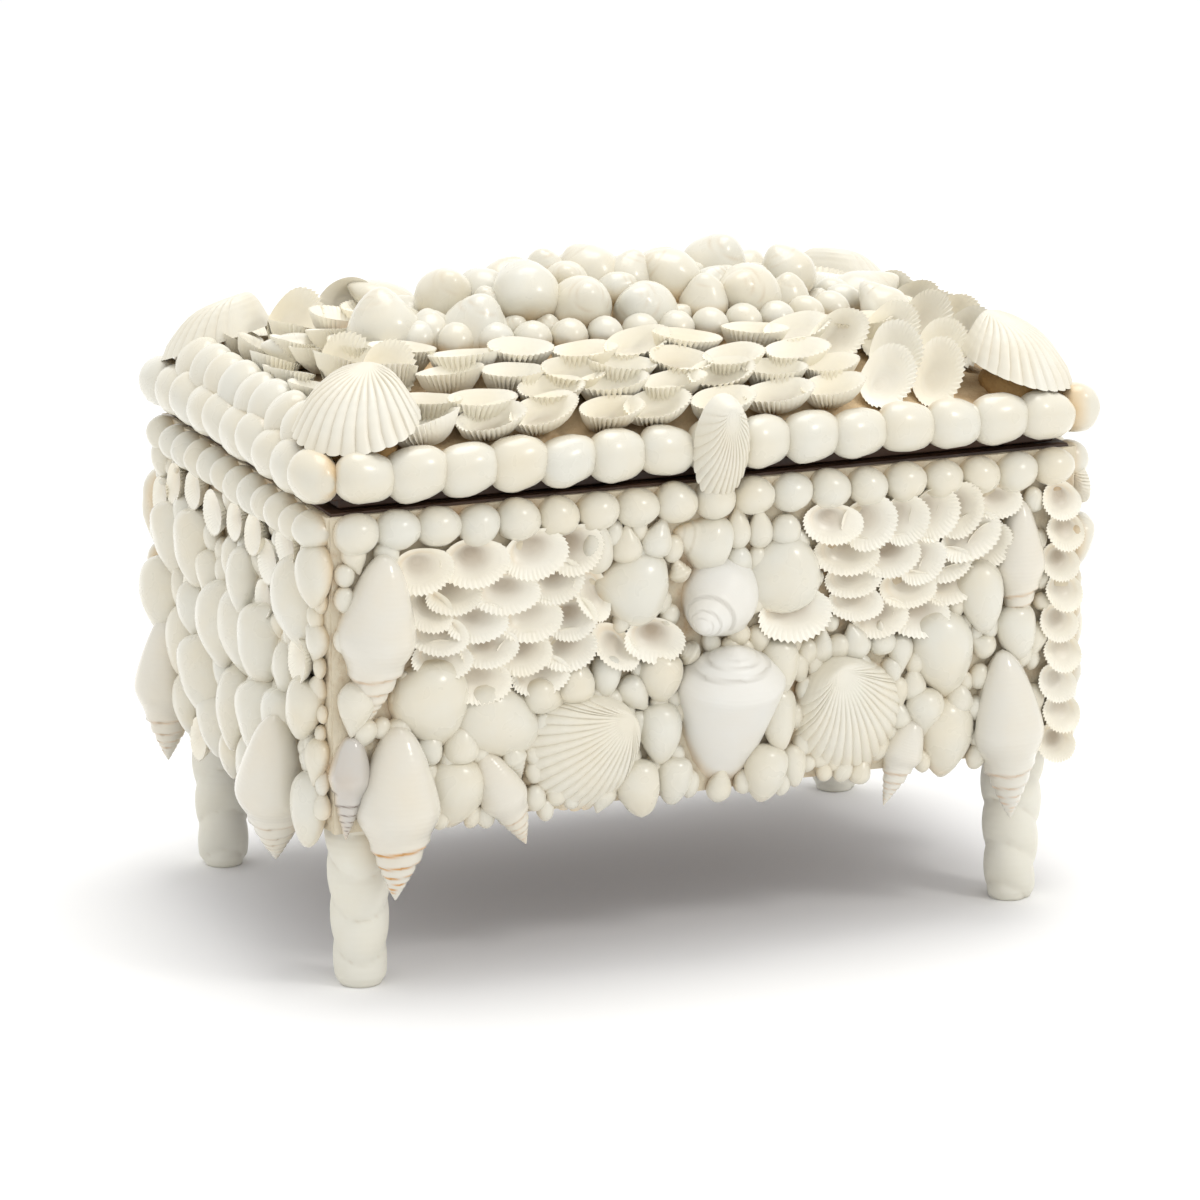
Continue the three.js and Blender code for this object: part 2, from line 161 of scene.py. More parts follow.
def from_top(height: float) -> float:
    """Share of the way from the top of the unit ball to its bottom, along its skin, at a height."""
    return math.acos(max(-1.0, min(1.0, height))) / math.pi


def paced(outline: list[Vector]) -> np.ndarray:
    """Length along an outline up to each of its points."""
    gaps = np.linalg.norm(np.diff(np.array(outline), axis=0), axis=1)
    return np.concatenate(([0], np.cumsum(gaps)))


# ---------------------------------------------------------------- shell forms


@dataclass
class Form:
    """One kind of shell at unit size: across X, apex or hinge towards +Y, outside towards +Z.

    Attributes:
        mesh: its shape.
        stain: 0 to 1 over its vertices, where its tint gathers: a real stain on tips and sutures, and painted
            shade in the hollows of valves and between their ribs.
        lines: count of its growth lines over its vertices, from one end of the shell to the other.
    """

    mesh: bpy.types.Mesh
    stain: np.ndarray
    lines: np.ndarray


def shaped_sphere(name: str, segments: int, rings: int, rule: Rule, crease: float = 60.0) -> Form:
    """A ball whose every vertex is moved by a rule.

    Args:
        name: name of the mesh.
        segments: vertices round each ring.
        rings: bands from pole to pole.
        rule: takes a point of the unit ball and gives its new place, its stain and its line.
        crease: edges sharper than this many degrees stay sharp.

    Returns:
        The form, with its faces pointing out.
    """
    bm = bmesh.new()
    bmesh.ops.create_uvsphere(bm, u_segments=segments, v_segments=rings, radius=1.0)
    marks = []
    for vert in bm.verts:
        vert.co, stain, line = rule(vert.co.copy())
        marks.append((stain, line))
    face_out(bm)
    mesh = as_mesh(name, bm)
    shade(mesh, crease)
    stains_and_shades, lines = np.array(marks).T
    return Form(mesh, stains_and_shades, lines)


def wavered(point: Vector, seed: float, amount: float) -> Vector:
    """The point moved a little by a slow noise, so that no two kinds of shell are alike."""
    return point + noise.noise_vector(point * 2.2 + Vector((seed, -seed, seed * 0.5))) * amount


@dataclass
class Pebble:
    """A smooth bead, bubble or drop shell: an egg with its apex at +Y.

    Attributes:
        narrowing: how much thinner it gets from its middle to its apex.
        tip: how far its apex is drawn out.
        squareness: 2 for a round outline and more for a blunter one.
        seed: which waver it gets.
        waver: how uneven it is.
    """

    name: str
    narrowing: float = 0.12
    tip: float = 0.0
    squareness: float = 2.0
    seed: float = 0.0
    segments: int = 20
    rings: int = 14
    waver: float = 0.035

    def rule(self, p: Vector) -> Shaped:
        """Shapes one point of the ball.

        Args:
            p: the point.

        Returns:
            Its new place, its stain and its line.
        """
        axis = p.z
        reach = math.hypot(p.x, p.y) or 1e-9
        swell = (1 - abs(axis) ** self.squareness) ** (1 / self.squareness)
        width = swell * (1 - self.narrowing * axis)
        point = Vector((p.x / reach * width, axis, -p.y / reach * width))
        point = wavered(point, self.seed, self.waver) * 0.5
        point.y += self.tip * max(0.0, axis) ** 6 * 0.5
        fold = 1 - self.tip * 1.2 * max(0.0, axis) ** 3
        point.x *= fold
        point.z *= fold
        return point, smooth(0.82, 1.0, axis) * (0.4 + self.tip), 0.0

    def form(self) -> Form:
        """Builds the shell."""
        return shaped_sphere(self.name, self.segments, self.rings, self.rule)


@dataclass
class Valve:
    """One half of a ribbed bivalve: a hollow dome of unit depth over a margin at z = 0.

    Attributes:
        ribs: how many ribs.
        samples: vertices across a rib.
        bands: vertices from the crown of the dome to its margin.
        relief: height of the ribs.
        teeth: how far they notch the margin.
        wall: thickness of the shell.
        umbo: how far the crown of the dome lies from its middle, towards the hinge.
        hinge: power of the hinge side's curve, less for a straighter hinge.
        sharpness: power of the ribs' section, less for broader ribs.
        fullness: power of the dome, more for a flatter top.
        seed, waver: which waver it gets, and how much.
        line_count: growth lines from crown to margin.
    """

    name: str
    ribs: int = 20
    samples: int = 2
    bands: int = 6
    relief: float = 0.06
    teeth: float = 0.035
    wall: float = 0.16
    umbo: float = 0.25
    hinge: float = 0.65
    sharpness: float = 1.0
    fullness: float = 1.6
    seed: float = 0.0
    waver: float = 0.015
    line_count: float = 9.0

    def rule(self, p: Vector) -> Shaped:
        """Shapes one point of the ball: its upper half is the outside, its lower half the inside.

        Args:
            p: the point.

        Returns:
            Its new place, its stain, which here is painted shade in the hollow and between the ribs, and its
            line.
        """
        ring = 2 * from_top(abs(p.z))
        inside = p.z < -1e-6
        margin = ring > 0.99
        angle = math.atan2(p.x, -p.y)
        cosine = math.cos(angle)
        ribbed = smooth(-0.92, -0.55, cosine) * smooth(0.1, 0.5, ring)
        wave = math.cos(self.ribs * angle)
        if self.samples > 2:
            wave = 2 * abs(math.cos(self.ribs * angle / 2)) ** self.sharpness - 1
        tooth = 1 + self.teeth * wave * ribbed * smooth(0.6, 1.0, ring)
        lift = 0.5 * (1 + cosine) if cosine > 0 else 0.5 * (1 - abs(cosine) ** self.hinge)
        top = 0.5 - (self.umbo + (self.wall * 0.5 if inside else 0)) * (1 - ring)
        dome = math.cos(math.pi / 2 * ring ** self.fullness)
        dome += self.relief * wave * ribbed * (0 if inside or margin else 1)
        x = ring * tooth * 0.5 * math.sin(angle)
        y = top - ring * tooth * lift
        z = 0.0 if margin else dome - (self.wall if inside else 0.0)
        point = wavered(Vector((x, y, max(z, 0.0))), self.seed, self.waver)
        # Painted shade: inside, the stain darkens the hollow from its deepest point out to near the rim;
        # outside, the trough darkens the grooves between the ribs.
        trough_shade = 0.0 if margin else 0.06 * (1 - wave) * ribbed
        return point, smooth(0.80, 0.15, ring) if inside else trough_shade, ring * self.line_count

    def form(self) -> Form:
        """Builds the valve."""
        return shaped_sphere(self.name, self.ribs * self.samples, 2 * self.bands, self.rule, 48.0)


@dataclass
class Spiral:
    """A spiral shell along Y with its spire towards +Y.

    Attributes:
        spire: share of the length taken by the spire.
        shoulder: share of the length at which it is widest.
        neck: width where the spire ends, as a share of the widest.
        mouth: width of the mouth end as a share of the widest.
        growth: how many times longer each whorl is than the one above it.
        step: how far each whorl stands out over the one above it.
        lip: how far the last whorl's edge stands out.
        turn: heading of that edge in degrees, 0 to the right and 90 to the back.
        point: power of the spire's outline, 1 for a straight cone and less for a rounder one.
        belly: power of the body's taper, larger for a fuller body.
        packing: power that gathers the rings towards the apex.
        striae: growth lines from end to end.
    """

    name: str
    spire: float = 0.40
    shoulder: float = 0.53
    neck: float = 0.80
    mouth: float = 0.30
    growth: float = 1.42
    step: float = 0.20
    lip: float = 0.10
    turn: float = -20.0
    point: float = 0.85
    belly: float = 1.35
    segments: int = 40
    rings: int = 60
    seed: float = 0.0
    packing: float = 1.3
    waver: float = 0.02
    striae: float = 34.0

    def outline(self, s: float) -> float:
        """The outline before sutures.

        Args:
            s: share of the length, from the apex.

        Returns:
            Its width there, as a share of the widest.
        """
        if s < self.spire:
            return self.neck * (s / self.spire) ** self.point
        if s < self.shoulder:
            share = (s - self.spire) / (self.shoulder - self.spire)
            return self.neck + (1 - self.neck) * math.sin(math.pi / 2 * share)
        down = (s - self.shoulder) / (1 - self.shoulder)
        return (1 - (1 - self.mouth) * down ** self.belly) * math.sqrt(max(0.0, 1 - down ** 10))

    def rule(self, p: Vector) -> Shaped:
        """Shapes one point of the ball, from its apex at the top pole to its mouth end.

        Args:
            p: the point.

        Returns:
            Its new place, its stain and its line.
        """
        s = from_top(p.z) ** self.packing
        angle = (math.atan2(p.y, p.x) - math.radians(self.turn)) % TAU
        phase = math.log((s + 0.003) / self.spire) / math.log(self.growth) + angle / TAU
        fraction = phase - math.floor(phase)
        seen = 1 - smooth(0.0, 0.55, phase)
        ledge = self.step * (0.5 - fraction ** 1.6) * seen
        edge = self.lip * (angle / TAU - 0.4) * smooth(self.spire * 0.8, self.shoulder, s)
        line = smooth(0.16, 0.0, fraction) + smooth(0.84, 1.0, fraction)
        radius = 0.5 * self.outline(s) * (1 + ledge + edge)
        heading = angle + math.radians(self.turn)
        point = Vector((radius * math.cos(heading), 0.5 - s, -radius * math.sin(heading)))
        stain = min(1.0, line) * seen * smooth(0.01, 0.08, s)
        return wavered(point, self.seed, self.waver), stain, s * self.striae

    def form(self) -> Form:
        """Builds the shell."""
        return shaped_sphere(self.name, self.segments, self.rings, self.rule, 75.0)


# ---------------------------------------------------------------- finishes


class Nodes:
    """Adds and links shader nodes in one tree."""

    def __init__(self, tree: bpy.types.NodeTree) -> None:
        """Keeps the tree."""
        self.tree = tree

    def feed(self, node: bpy.types.Node, sources: dict[str | int, object]) -> None:
        """Links sockets of a node to others, or sets them to numbers or colours.

        Args:
            node: the node that is fed.
            sources: what its input sockets take, by their name or number.
        """
        for key, source in sources.items():
            socket = node.inputs[key]
            if isinstance(source, bpy.types.NodeSocket):
                self.tree.links.new(source, socket)
            elif isinstance(source, tuple) and socket.type == "RGBA":
                socket.default_value = (*source, 1.0)
            else:
                socket.default_value = source

    def add(self, kind: str, sources: dict[str | int, object] | None = None,
            **properties: object) -> bpy.types.Node:
        """Adds a node.

        Args:
            kind: its type.
            sources: what its input sockets take.
            properties: its properties.

        Returns:
            The node.
        """
        node = self.tree.nodes.new(kind)
        for name, value in properties.items():
            setattr(node, name, value)
        self.feed(node, sources or {})
        return node

    def attribute(self, name: str) -> bpy.types.NodeSocket:
        """The value of a mesh attribute."""
        return self.add("ShaderNodeAttribute", attribute_name=name).outputs["Fac"]

    def math(self, operation: str, *inputs: object, clamp: bool = False) -> bpy.types.NodeSocket:
        """The result of an operation on numbers, held between 0 and 1 if clamped."""
        sources = dict(enumerate(inputs))
        return self.add("ShaderNodeMath", sources, operation=operation, use_clamp=clamp).outputs[0]

    def mix(self, share: object, first: object, second: object) -> bpy.types.NodeSocket:
        """Two colours mixed: the first at a share of 0, the second at 1."""
        sources = {"Factor": share, 6: first, 7: second}
        return self.add("ShaderNodeMix", sources, data_type="RGBA").outputs[2]

    def spread(self, value: object, low: float, high: float, to_low: float = 0.0,
               to_high: float = 1.0) -> bpy.types.NodeSocket:
        """A value spread from the range low to high over another range, and held inside it."""
        sources = dict(enumerate((value, low, high, to_low, to_high)))
        return self.add("ShaderNodeMapRange", sources, clamp=True).outputs["Result"]

    def noise(self, scale: object, detail: float = 3.0, rough: float = 0.5,
              stretch: Size = (1.0, 1.0, 1.0)) -> bpy.types.NodeSocket:
        """Noise over the piece's own coordinates.

        Args:
            scale: swells in a metre.
            detail: how many finer noises lie over the first.
            rough: how strong these are.
            stretch: how many times as many swells lie along X, Y and Z.

        Returns:
            The noise, about 0 to 1.
        """
        place = self.add("ShaderNodeTexCoord").outputs["Object"]
        if stretch != (1.0, 1.0, 1.0):
            place = self.add("ShaderNodeMapping", {"Vector": place, "Scale": stretch}).outputs["Vector"]
        sources = {"Vector": place, "Scale": scale, "Detail": detail, "Roughness": rough}
        return self.add("ShaderNodeTexNoise", sources).outputs["Fac"]


class Group(Nodes):
    """A shader node group under construction, between its input and its output node."""

    def __init__(self, name: str, colours: Iterable[str], numbers: Iterable[str]) -> None:
        """Starts a group.

        Args:
            name: the group's name.
            colours: names of the colours that it takes.
            numbers: names of the numbers that it takes.
        """
        super().__init__(bpy.data.node_groups.new(name, "ShaderNodeTree"))
        for names, kind in ((colours, "NodeSocketColor"), (numbers, "NodeSocketFloat")):
            for socket in names:
                self.tree.interface.new_socket(socket, in_out="INPUT", socket_type=kind)
        self.given = self.add("NodeGroupInput").outputs

    def give(self, **results: bpy.types.NodeSocket) -> bpy.types.NodeTree:
        """Ends the group.

        Args:
            results: what it gives out, by name.

        Returns:
            The group's tree.
        """
        for name, source in results.items():
            kind = "NodeSocketColor" if source.type == "RGBA" else "NodeSocketFloat"
            self.tree.interface.new_socket(name, in_out="OUTPUT", socket_type=kind)
        self.feed(self.add("NodeGroupOutput"), results)
        return self.tree


def build_shell_tone() -> bpy.types.NodeTree:
    """The colour of a shell: its own tone, a stain where it gathers (on valves, painted shade in the hollow
    and between the ribs) and painted warm shade on its lowest part, where it meets the plaster.
    """
    group = Group("shell_tone", ("Light", "Warm", "Stain", "Bed"), ("Stain Strength",))
    given = group.given
    cloud = group.spread(group.noise(55.0, 4.0), 0.35, 0.68)
    share = group.math("MULTIPLY_ADD", cloud, 0.55, group.math("MULTIPLY", group.attribute("tone"), 0.7))
    base = group.mix(group.math("MULTIPLY", share, 0.9, clamp=True), given["Light"], given["Warm"])
    speckle = group.spread(group.noise(160.0, 2.0), 0.3, 0.75, 0.8, 1.0)
    # The stain is partly painted shade: on the valves it darkens the hollow and the grooves between the ribs.
    stain = group.math("MULTIPLY", group.attribute("stain"), given["Stain Strength"])
    stained = group.mix(group.math("MULTIPLY", stain, speckle, clamp=True), base, given["Stain"])
    # Painted shade: the bed mask darkens and warms the shell's lowest part, where it meets the plaster, in
    # patches.
    patchy = group.spread(cloud, 0.0, 1.0, 0.65, 1.0)
    bed = group.math("MULTIPLY", group.attribute("bed"), patchy, clamp=True)
    return group.give(Color=group.mix(bed, stained, given["Bed"]))


def build_growth() -> bpy.types.NodeTree:
    """A shell's fine skin: growth lines, slow swells and a fine grain, as a height and a mask."""
    group = Group("growth", (), ("Grain", "Swell", "Lines"))
    grain = group.noise(group.given["Grain"], 3.0, 0.5)
    swell = group.noise(group.given["Swell"], 2.0, 0.4)
    ridge = group.math("SINE", group.math("MULTIPLY", group.attribute("line"), TAU))
    lined = group.math("MULTIPLY_ADD", ridge, group.given["Lines"], swell)
    height = group.math("MULTIPLY_ADD", grain, 0.2, lined)
    return group.give(Height=height, Mask=group.spread(swell, 0.15, 0.85))


class Surface(Nodes):
    """A material under construction, round its Principled shader."""

    def __init__(self, name: str) -> None:
        """Starts a material."""
        self.material = bpy.data.materials.new(name)
        self.material.use_nodes = True
        super().__init__(self.material.node_tree)

    def give(self, relief: object, depth: float, sources: dict[str, object]) -> bpy.types.Material:
        """Ends the material.

        Args:
            relief: its relief, 0 to 1.
            depth: what a relief of 1 stands for, in metres.
            sources: what the shader's sockets take.

        Returns:
            The material.
        """
        bump = self.add("ShaderNodeBump", {"Strength": 1.0, "Distance": depth, "Height": relief})
        self.feed(self.tree.nodes["Principled BSDF"], {**sources, "Normal": bump.outputs["Normal"]})
        return self.material


@dataclass(frozen=True)
class ShellFinish:
    """A shell's colour and gloss.

    Attributes:
        light, warm: the palest and warmest tone of clean shell.
        stain, stain_strength: tint of tips and sutures, and painted shade in the hollows of valves and
            between their ribs.
        bed: colour of the painted warm shade on the shell's lowest part, where it meets the plaster.
        edge: colour of the painted rim highlight, mixed in where the shell's surface turns away from the
            camera.
        glossy, dull: roughness where the skin is smoothest and dullest.
        grain, swell: fine grains and slow swells of the skin in a metre.
        lines: height of the growth lines as a share of the bump.
        bump: height of the skin's grain, in metres.
        coat, coat_roughness: a clear polish over it.
        thin: how strong that painted rim highlight is.
    """

    name: str
    light: Colour = (0.90, 0.885, 0.85)
    warm: Colour = (0.86, 0.80, 0.69)
    stain: Colour = (0.55, 0.40, 0.26)
    stain_strength: float = 0.5
    bed: Colour = (0.68, 0.50, 0.28)
    edge: Colour = (0.86, 0.84, 0.74)
    glossy: float = 0.16
    dull: float = 0.34
    grain: float = 900.0
    swell: float = 140.0
    lines: float = 0.0
    bump: float = 0.00003
    coat: float = 0.0
    coat_roughness: float = 0.12
    thin: float = 0.6

    def build(self, tone: bpy.types.NodeTree, growth: bpy.types.NodeTree) -> bpy.types.Material:
        """The finish as a material.

        Args:
            tone: the shared group for a shell's colour.
            growth: the shared group for its skin.

        Returns:
            The material.
        """
        surface = Surface(self.name)
        colour = surface.add("ShaderNodeGroup", {
            "Light": self.light, "Warm": self.warm, "Stain": self.stain,
            "Stain Strength": self.stain_strength, "Bed": self.bed}, node_tree=tone)
        skin = surface.add("ShaderNodeGroup", {
            "Grain": self.grain, "Swell": self.swell, "Lines": self.lines}, node_tree=growth)
        # Painted rim highlight: the edge colour is mixed in where the surface turns away from the camera,
        # lightening each shell's outline.
        facing = surface.add("ShaderNodeLayerWeight", {"Blend": 0.35})
        thin = surface.spread(facing.outputs["Facing"], 0.4, 0.95, 0.0, self.thin)
        return surface.give(skin.outputs["Height"], self.bump, {
            "Base Color": surface.mix(thin, colour.outputs["Color"], self.edge),
            "Roughness": surface.spread(skin.outputs["Mask"], 0.0, 1.0, self.glossy, self.dull),
            "Coat Weight": self.coat, "Coat Roughness": self.coat_roughness})


@dataclass(frozen=True)
class PlasterFinish:
    """Cream setting plaster, browner in patches."""

    name: str = "setting_plaster"
    pale: Colour = (0.67, 0.60, 0.46)
    brown: Colour = (0.42, 0.26, 0.12)
    bump: float = 0.0006

    def build(self) -> bpy.types.Material:
        """The finish as a material."""
        surface = Surface(self.name)
        patch = surface.spread(surface.noise(60.0, 5.0, 0.6), 0.50, 0.74)
        grain = surface.noise(500.0, 6.0, 0.65)
        return surface.give(grain, self.bump, {
            "Base Color": surface.mix(patch, self.pale, self.brown),
            "Roughness": surface.spread(grain, 0.3, 0.7, 0.6, 0.9)})


@dataclass(frozen=True)
class WoodFinish:
    """Dark stained wood with its grain along the box."""

    name: str = "dark_stained_wood"
    dark: Colour = (0.030, 0.014, 0.008)
    brown: Colour = (0.10, 0.050, 0.026)
    stretch: Size = (12.0, 160.0, 160.0)
    bump: float = 0.0002

    def build(self) -> bpy.types.Material:
        """The finish as a material."""
        surface = Surface(self.name)
        grain = surface.spread(surface.noise(1.0, 6.0, stretch=self.stretch), 0.3, 0.7)
        return surface.give(grain, self.bump, {
            "Base Color": surface.mix(grain, self.dark, self.brown),
            "Roughness": surface.spread(grain, 0.0, 1.0, 0.45, 0.65)})


class Finishes:
    """Every finish on the box, built once."""

    def __init__(self) -> None:
        """Builds the shared groups and the materials."""
        tone, growth = build_shell_tone(), build_growth()

        def shell(name: str, **looks: object) -> bpy.types.Material:
            """A shell's material."""
            return ShellFinish(name, **looks).build(tone, growth)

        self.polished = shell(
            "polished_shell", light=(0.665, 0.65, 0.575), warm=(0.69, 0.625, 0.48), stain=(0.52, 0.40, 0.26),
            stain_strength=0.45, glossy=0.22, dull=0.36, coat=0.25, thin=0.9)
        # On the ark and cockle valves the stain colour is painted shade, for their hollows and the grooves
        # between their ribs.
        self.ark = shell(
            "ark_shell", light=(0.90, 0.875, 0.785), warm=(0.89, 0.835, 0.695), stain=(0.40, 0.33, 0.245),
            stain_strength=1.15, glossy=0.25, dull=0.45, lines=0.15, bump=0.00006, thin=0.0)
        self.cockle = shell(
            "cockle_shell", light=(0.72, 0.70, 0.62), warm=(0.71, 0.65, 0.51), stain=(0.55, 0.34, 0.14),
            stain_strength=0.9, glossy=0.30, dull=0.5, lines=0.3, bump=0.00008, thin=0.2)
        self.chalky = shell(
            "chalky_shell", light=(0.72, 0.71, 0.665), warm=(0.71, 0.67, 0.59), stain=(0.40, 0.37, 0.31),
            stain_strength=0.7, glossy=0.30, dull=0.5, lines=0.2, bump=0.00005, thin=0.2)
        self.conch = shell(
            "conch_shell", light=(0.67, 0.65, 0.585), warm=(0.69, 0.63, 0.51), stain=(0.62, 0.33, 0.11),
            stain_strength=1.5, glossy=0.14, dull=0.28, lines=0.3, bump=0.00004, coat=0.25)
        self.pearl = shell(
            "pearl_shell", light=(0.54, 0.54, 0.52), warm=(0.54, 0.46, 0.37), stain=(0.16, 0.11, 0.08),
            stain_strength=0.95, glossy=0.08, dull=0.18, coat=0.7)
        self.leg = shell(
            "leg_shell", light=(0.72, 0.705, 0.63), warm=(0.70, 0.665, 0.55), stain=(0.52, 0.44, 0.32),
            stain_strength=0.5, glossy=0.4, dull=0.6, lines=0.3, bump=0.00006, thin=0.3)
        self.plaster = PlasterFinish().build()
        self.amber = PlasterFinish("amber_plaster", (0.74, 0.56, 0.34), (0.42, 0.25, 0.11)).build()
        self.glue = PlasterFinish("cockle_glue", (0.48, 0.30, 0.12), (0.26, 0.13, 0.045)).build()
        self.wood = WoodFinish().build()


# ---------------------------------------------------------------- setting shells down


class Wall(Enum):
    """A face of the box: its right and outward directions, seen from outside."""

    FRONT = ((1, 0, 0), (0, -1, 0))
    BACK = ((-1, 0, 0), (0, 1, 0))
    LEFT = ((0, -1, 0), (-1, 0, 0))
    RIGHT = ((0, 1, 0), (1, 0, 0))

    @property
    def side(self) -> str:
        """The wall's name in the names of pieces."""
        return self.name.lower()

    @property
    def right(self) -> Vector:
        """Unit vector to the right."""
        return Vector(self.value[0])

    @property
    def out(self) -> Vector:
        """Unit vector out of the wall."""
        return Vector(self.value[1])

    @property
    def reach(self) -> float:
        """Distance of the wall from the middle of the box."""
        return HALF_D if self in (Wall.FRONT, Wall.BACK) else HALF_W

    @property
    def half(self) -> float:
        """Half the wall's width."""
        return HALF_W if self in (Wall.FRONT, Wall.BACK) else HALF_D

    def frame(self, across: float, height: float) -> Matrix:
        """The wall's frame at a place on it: X right, Y up, Z out.

        Args:
            across: distance to the right of the wall's middle.
            height: height above the ground.

        Returns:
            The frame, in millimetres.
        """
        basis = Matrix((self.right, Vector((0, 0, 1)), self.out)).transposed().to_4x4()
        place = self.right * across + self.out * self.reach + Vector((0, 0, height))
        return Matrix.Translation(place) @ basis


def set_down(ground: Matrix, size: Size, out: float = 0.0, spin: float = 0.0, lean: float = 0.0,
             roll: float = 0.0, cup: bool = False) -> Matrix:
    """Where a unit form goes on the ground under it.

    Args:
        ground: frame of the surface, Z out of it.
        size: width, length and depth of the shell.
        out: how far its middle is above the surface.
        spin: turn in the plane of the surface, in degrees.
        lean: how far its apex leans outwards, in degrees.
        roll: turn about its own length, in degrees.
        cup: set it down with its hollow side out.

    Returns:
        The placing matrix, in millimetres.
    """
    turn = Matrix.Rotation(math.radians(spin), 4, "Z") @ Matrix.Rotation(math.radians(lean), 4, "X")
    own = Matrix.Rotation(math.radians(roll + (180 if cup else 0)), 4, "Y")
    return ground @ Matrix.Translation((0, 0, out)) @ turn @ own @ Matrix.Diagonal((*size, 1.0))


class Cluster:
    """Shells set down together and joined as one piece."""

    seed = 0

    def __init__(self, name: str) -> None:
        """Starts an empty piece."""
        self.name = name
        self.dice = random.Random(f"{name}{self.seed}")
        self.bm = bmesh.new()
        self.marks: dict[str, list[np.ndarray]] = {"tone": [], "stain": [], "bed": [], "line": []}

    def add(self, form: Form, place: Matrix, ground: Matrix | None = None, tone: float | None = None,
            sink: float = 5.5, depth: float | None = None) -> None:
        """Sets a shell down.

        Args:
            form: the kind of shell.
            place: where it goes.
            ground: the surface under it; the shell's lowest part gets painted warm shade near it.
            tone: 0 for a pale shell to 1 for a warm one, or chance.
            sink: height above the ground up to which that painted shade reaches.
            depth: how strong its stain and, on valves, its painted shade are, or chance.
        """
        mesh = form.mesh.copy()
        mesh.transform(place)
        count = len(mesh.vertices)
        # Painted shade: bed rises from 0 to 1 towards the ground under the shell, except where the stain is
        # strong.
        bed = np.zeros(count)
        if ground is not None:
            points = np.empty(count * 3)
            mesh.vertices.foreach_get("co", points)
            normal = np.array(ground.col[2][:3])
            height = (points.reshape(-1, 3) - np.array(ground.translation)) @ normal
            bed = np.where(form.stain > 0.3, 0, np.clip(1 - height / sink, 0, 1) ** 1.1)
        warmth = 0.65 * self.dice.random() ** 1.5 if tone is None else tone
        strength = self.dice.uniform(0.5, 1.0) if depth is None else depth
        values = (np.full(count, warmth), form.stain * strength, bed, form.lines)
        for parts, part in zip(self.marks.values(), values):
            parts.append(part)
        self.bm.from_mesh(mesh)
        bpy.data.meshes.remove(mesh)

    def finish(self, material: bpy.types.Material,
               replaces: Iterable[str] = ()) -> None:
        """Makes the piece, in metres, and gives it to the frame.

        Args:
            material: its finish.
            replaces: frame nodes that it stands for.
        """
        mesh = as_mesh(self.name, self.bm, MM)
        for name, parts in self.marks.items():
            layer = mesh.attributes.new(name, "FLOAT", "POINT")
            layer.data.foreach_set("value", np.concatenate(parts).astype(np.float32))
        mesh.materials.append(material)
        hand_over(as_object(self.name, mesh), replaces)


class Kinds:
    """Every kind of shell on the box, made once."""

    def __init__(self) -> None:
        """Builds the forms."""
        self.beads = [Pebble(f"bead_{i}", 0.08, 0.03, 2.1, i * 3.1).form() for i in range(4)]
        self.grains = [Pebble(f"grain_{i}", 0.08, 0.03, 2.1, i * 3.7, 12, 9).form() for i in range(3)]
        self.ovals = [Pebble(f"oval_{i}", 0.10, 0.03, 2.5, i * 2.9, 22, 16).form() for i in range(4)]
        self.bubbles = [Pebble(f"bubble_{i}", 0.20, 0.10, 2.0 + 0.2 * i, i * 5.3, 20, 15).form()
                        for i in range(4)]
        self.drops = [Pebble(f"drop_{i}", 0.30, 0.26, 1.9, i * 2.7, 14, 10).form() for i in range(3)]
        self.arks = [Valve(f"ark_{i}", ribs=36, relief=0.10, teeth=0.03, wall=0.20, umbo=0.10, hinge=0.9,
                           fullness=1.7, seed=i * 4.9, waver=0.035).form() for i in range(3)]
        self.fan = Valve("fan", 30, 6, 9, 0.03, 0.012, 0.10, 0.06, 1.5, 0.55, 2.0).form()
        self.cockle = Valve("cockle", 26, 6, 10, 0.032, 0.016, 0.12, 0.10, 1.05, 0.55, 1.9, 7.0).form()
        self.conch = Spiral("conch").form()
        self.tower = Spiral("tower", 0.48, 0.60, 0.76, 0.45, 1.38, 0.18).form()
        self.moon = Spiral("moon", 0.34, 0.66, 0.66, 0.80, 2.1, 0.07, 0.05, 200, 0.62, 3.0, 56, 56,
                           waver=0.01).form()
        self.vase = Spiral("vase", 0.15, 0.25, 0.80, 0.46, 1.7, 0.10, 0.07, 150, 0.72, 1.15, 56, 70,
                           waver=0.01).form()
        self.turbans = [Spiral(f"turban_{i}", 0.26, 0.56, 0.74, 0.70, 2.0, 0.05, 0.04, 150, 0.56, 2.4, 28,
                               28, i * 3.7, 1.1, 0.03).form() for i in range(3)]
        self.nassa = Spiral("nassa", 0.5, 0.62, 0.8, 0.4, 1.4, 0.16, segments=28, rings=30).form()


# ---------------------------------------------------------------- the box


def add_block(bm: bmesh.types.BMesh, low: Vector, high: Vector) -> None:
    """Adds a block between two corners to a shape."""
    made = bmesh.ops.create_cube(bm, size=1.0)["verts"]
    bmesh.ops.scale(bm, vec=high - low, verts=made)
    bmesh.ops.translate(bm, vec=(low + high) / 2, verts=made)


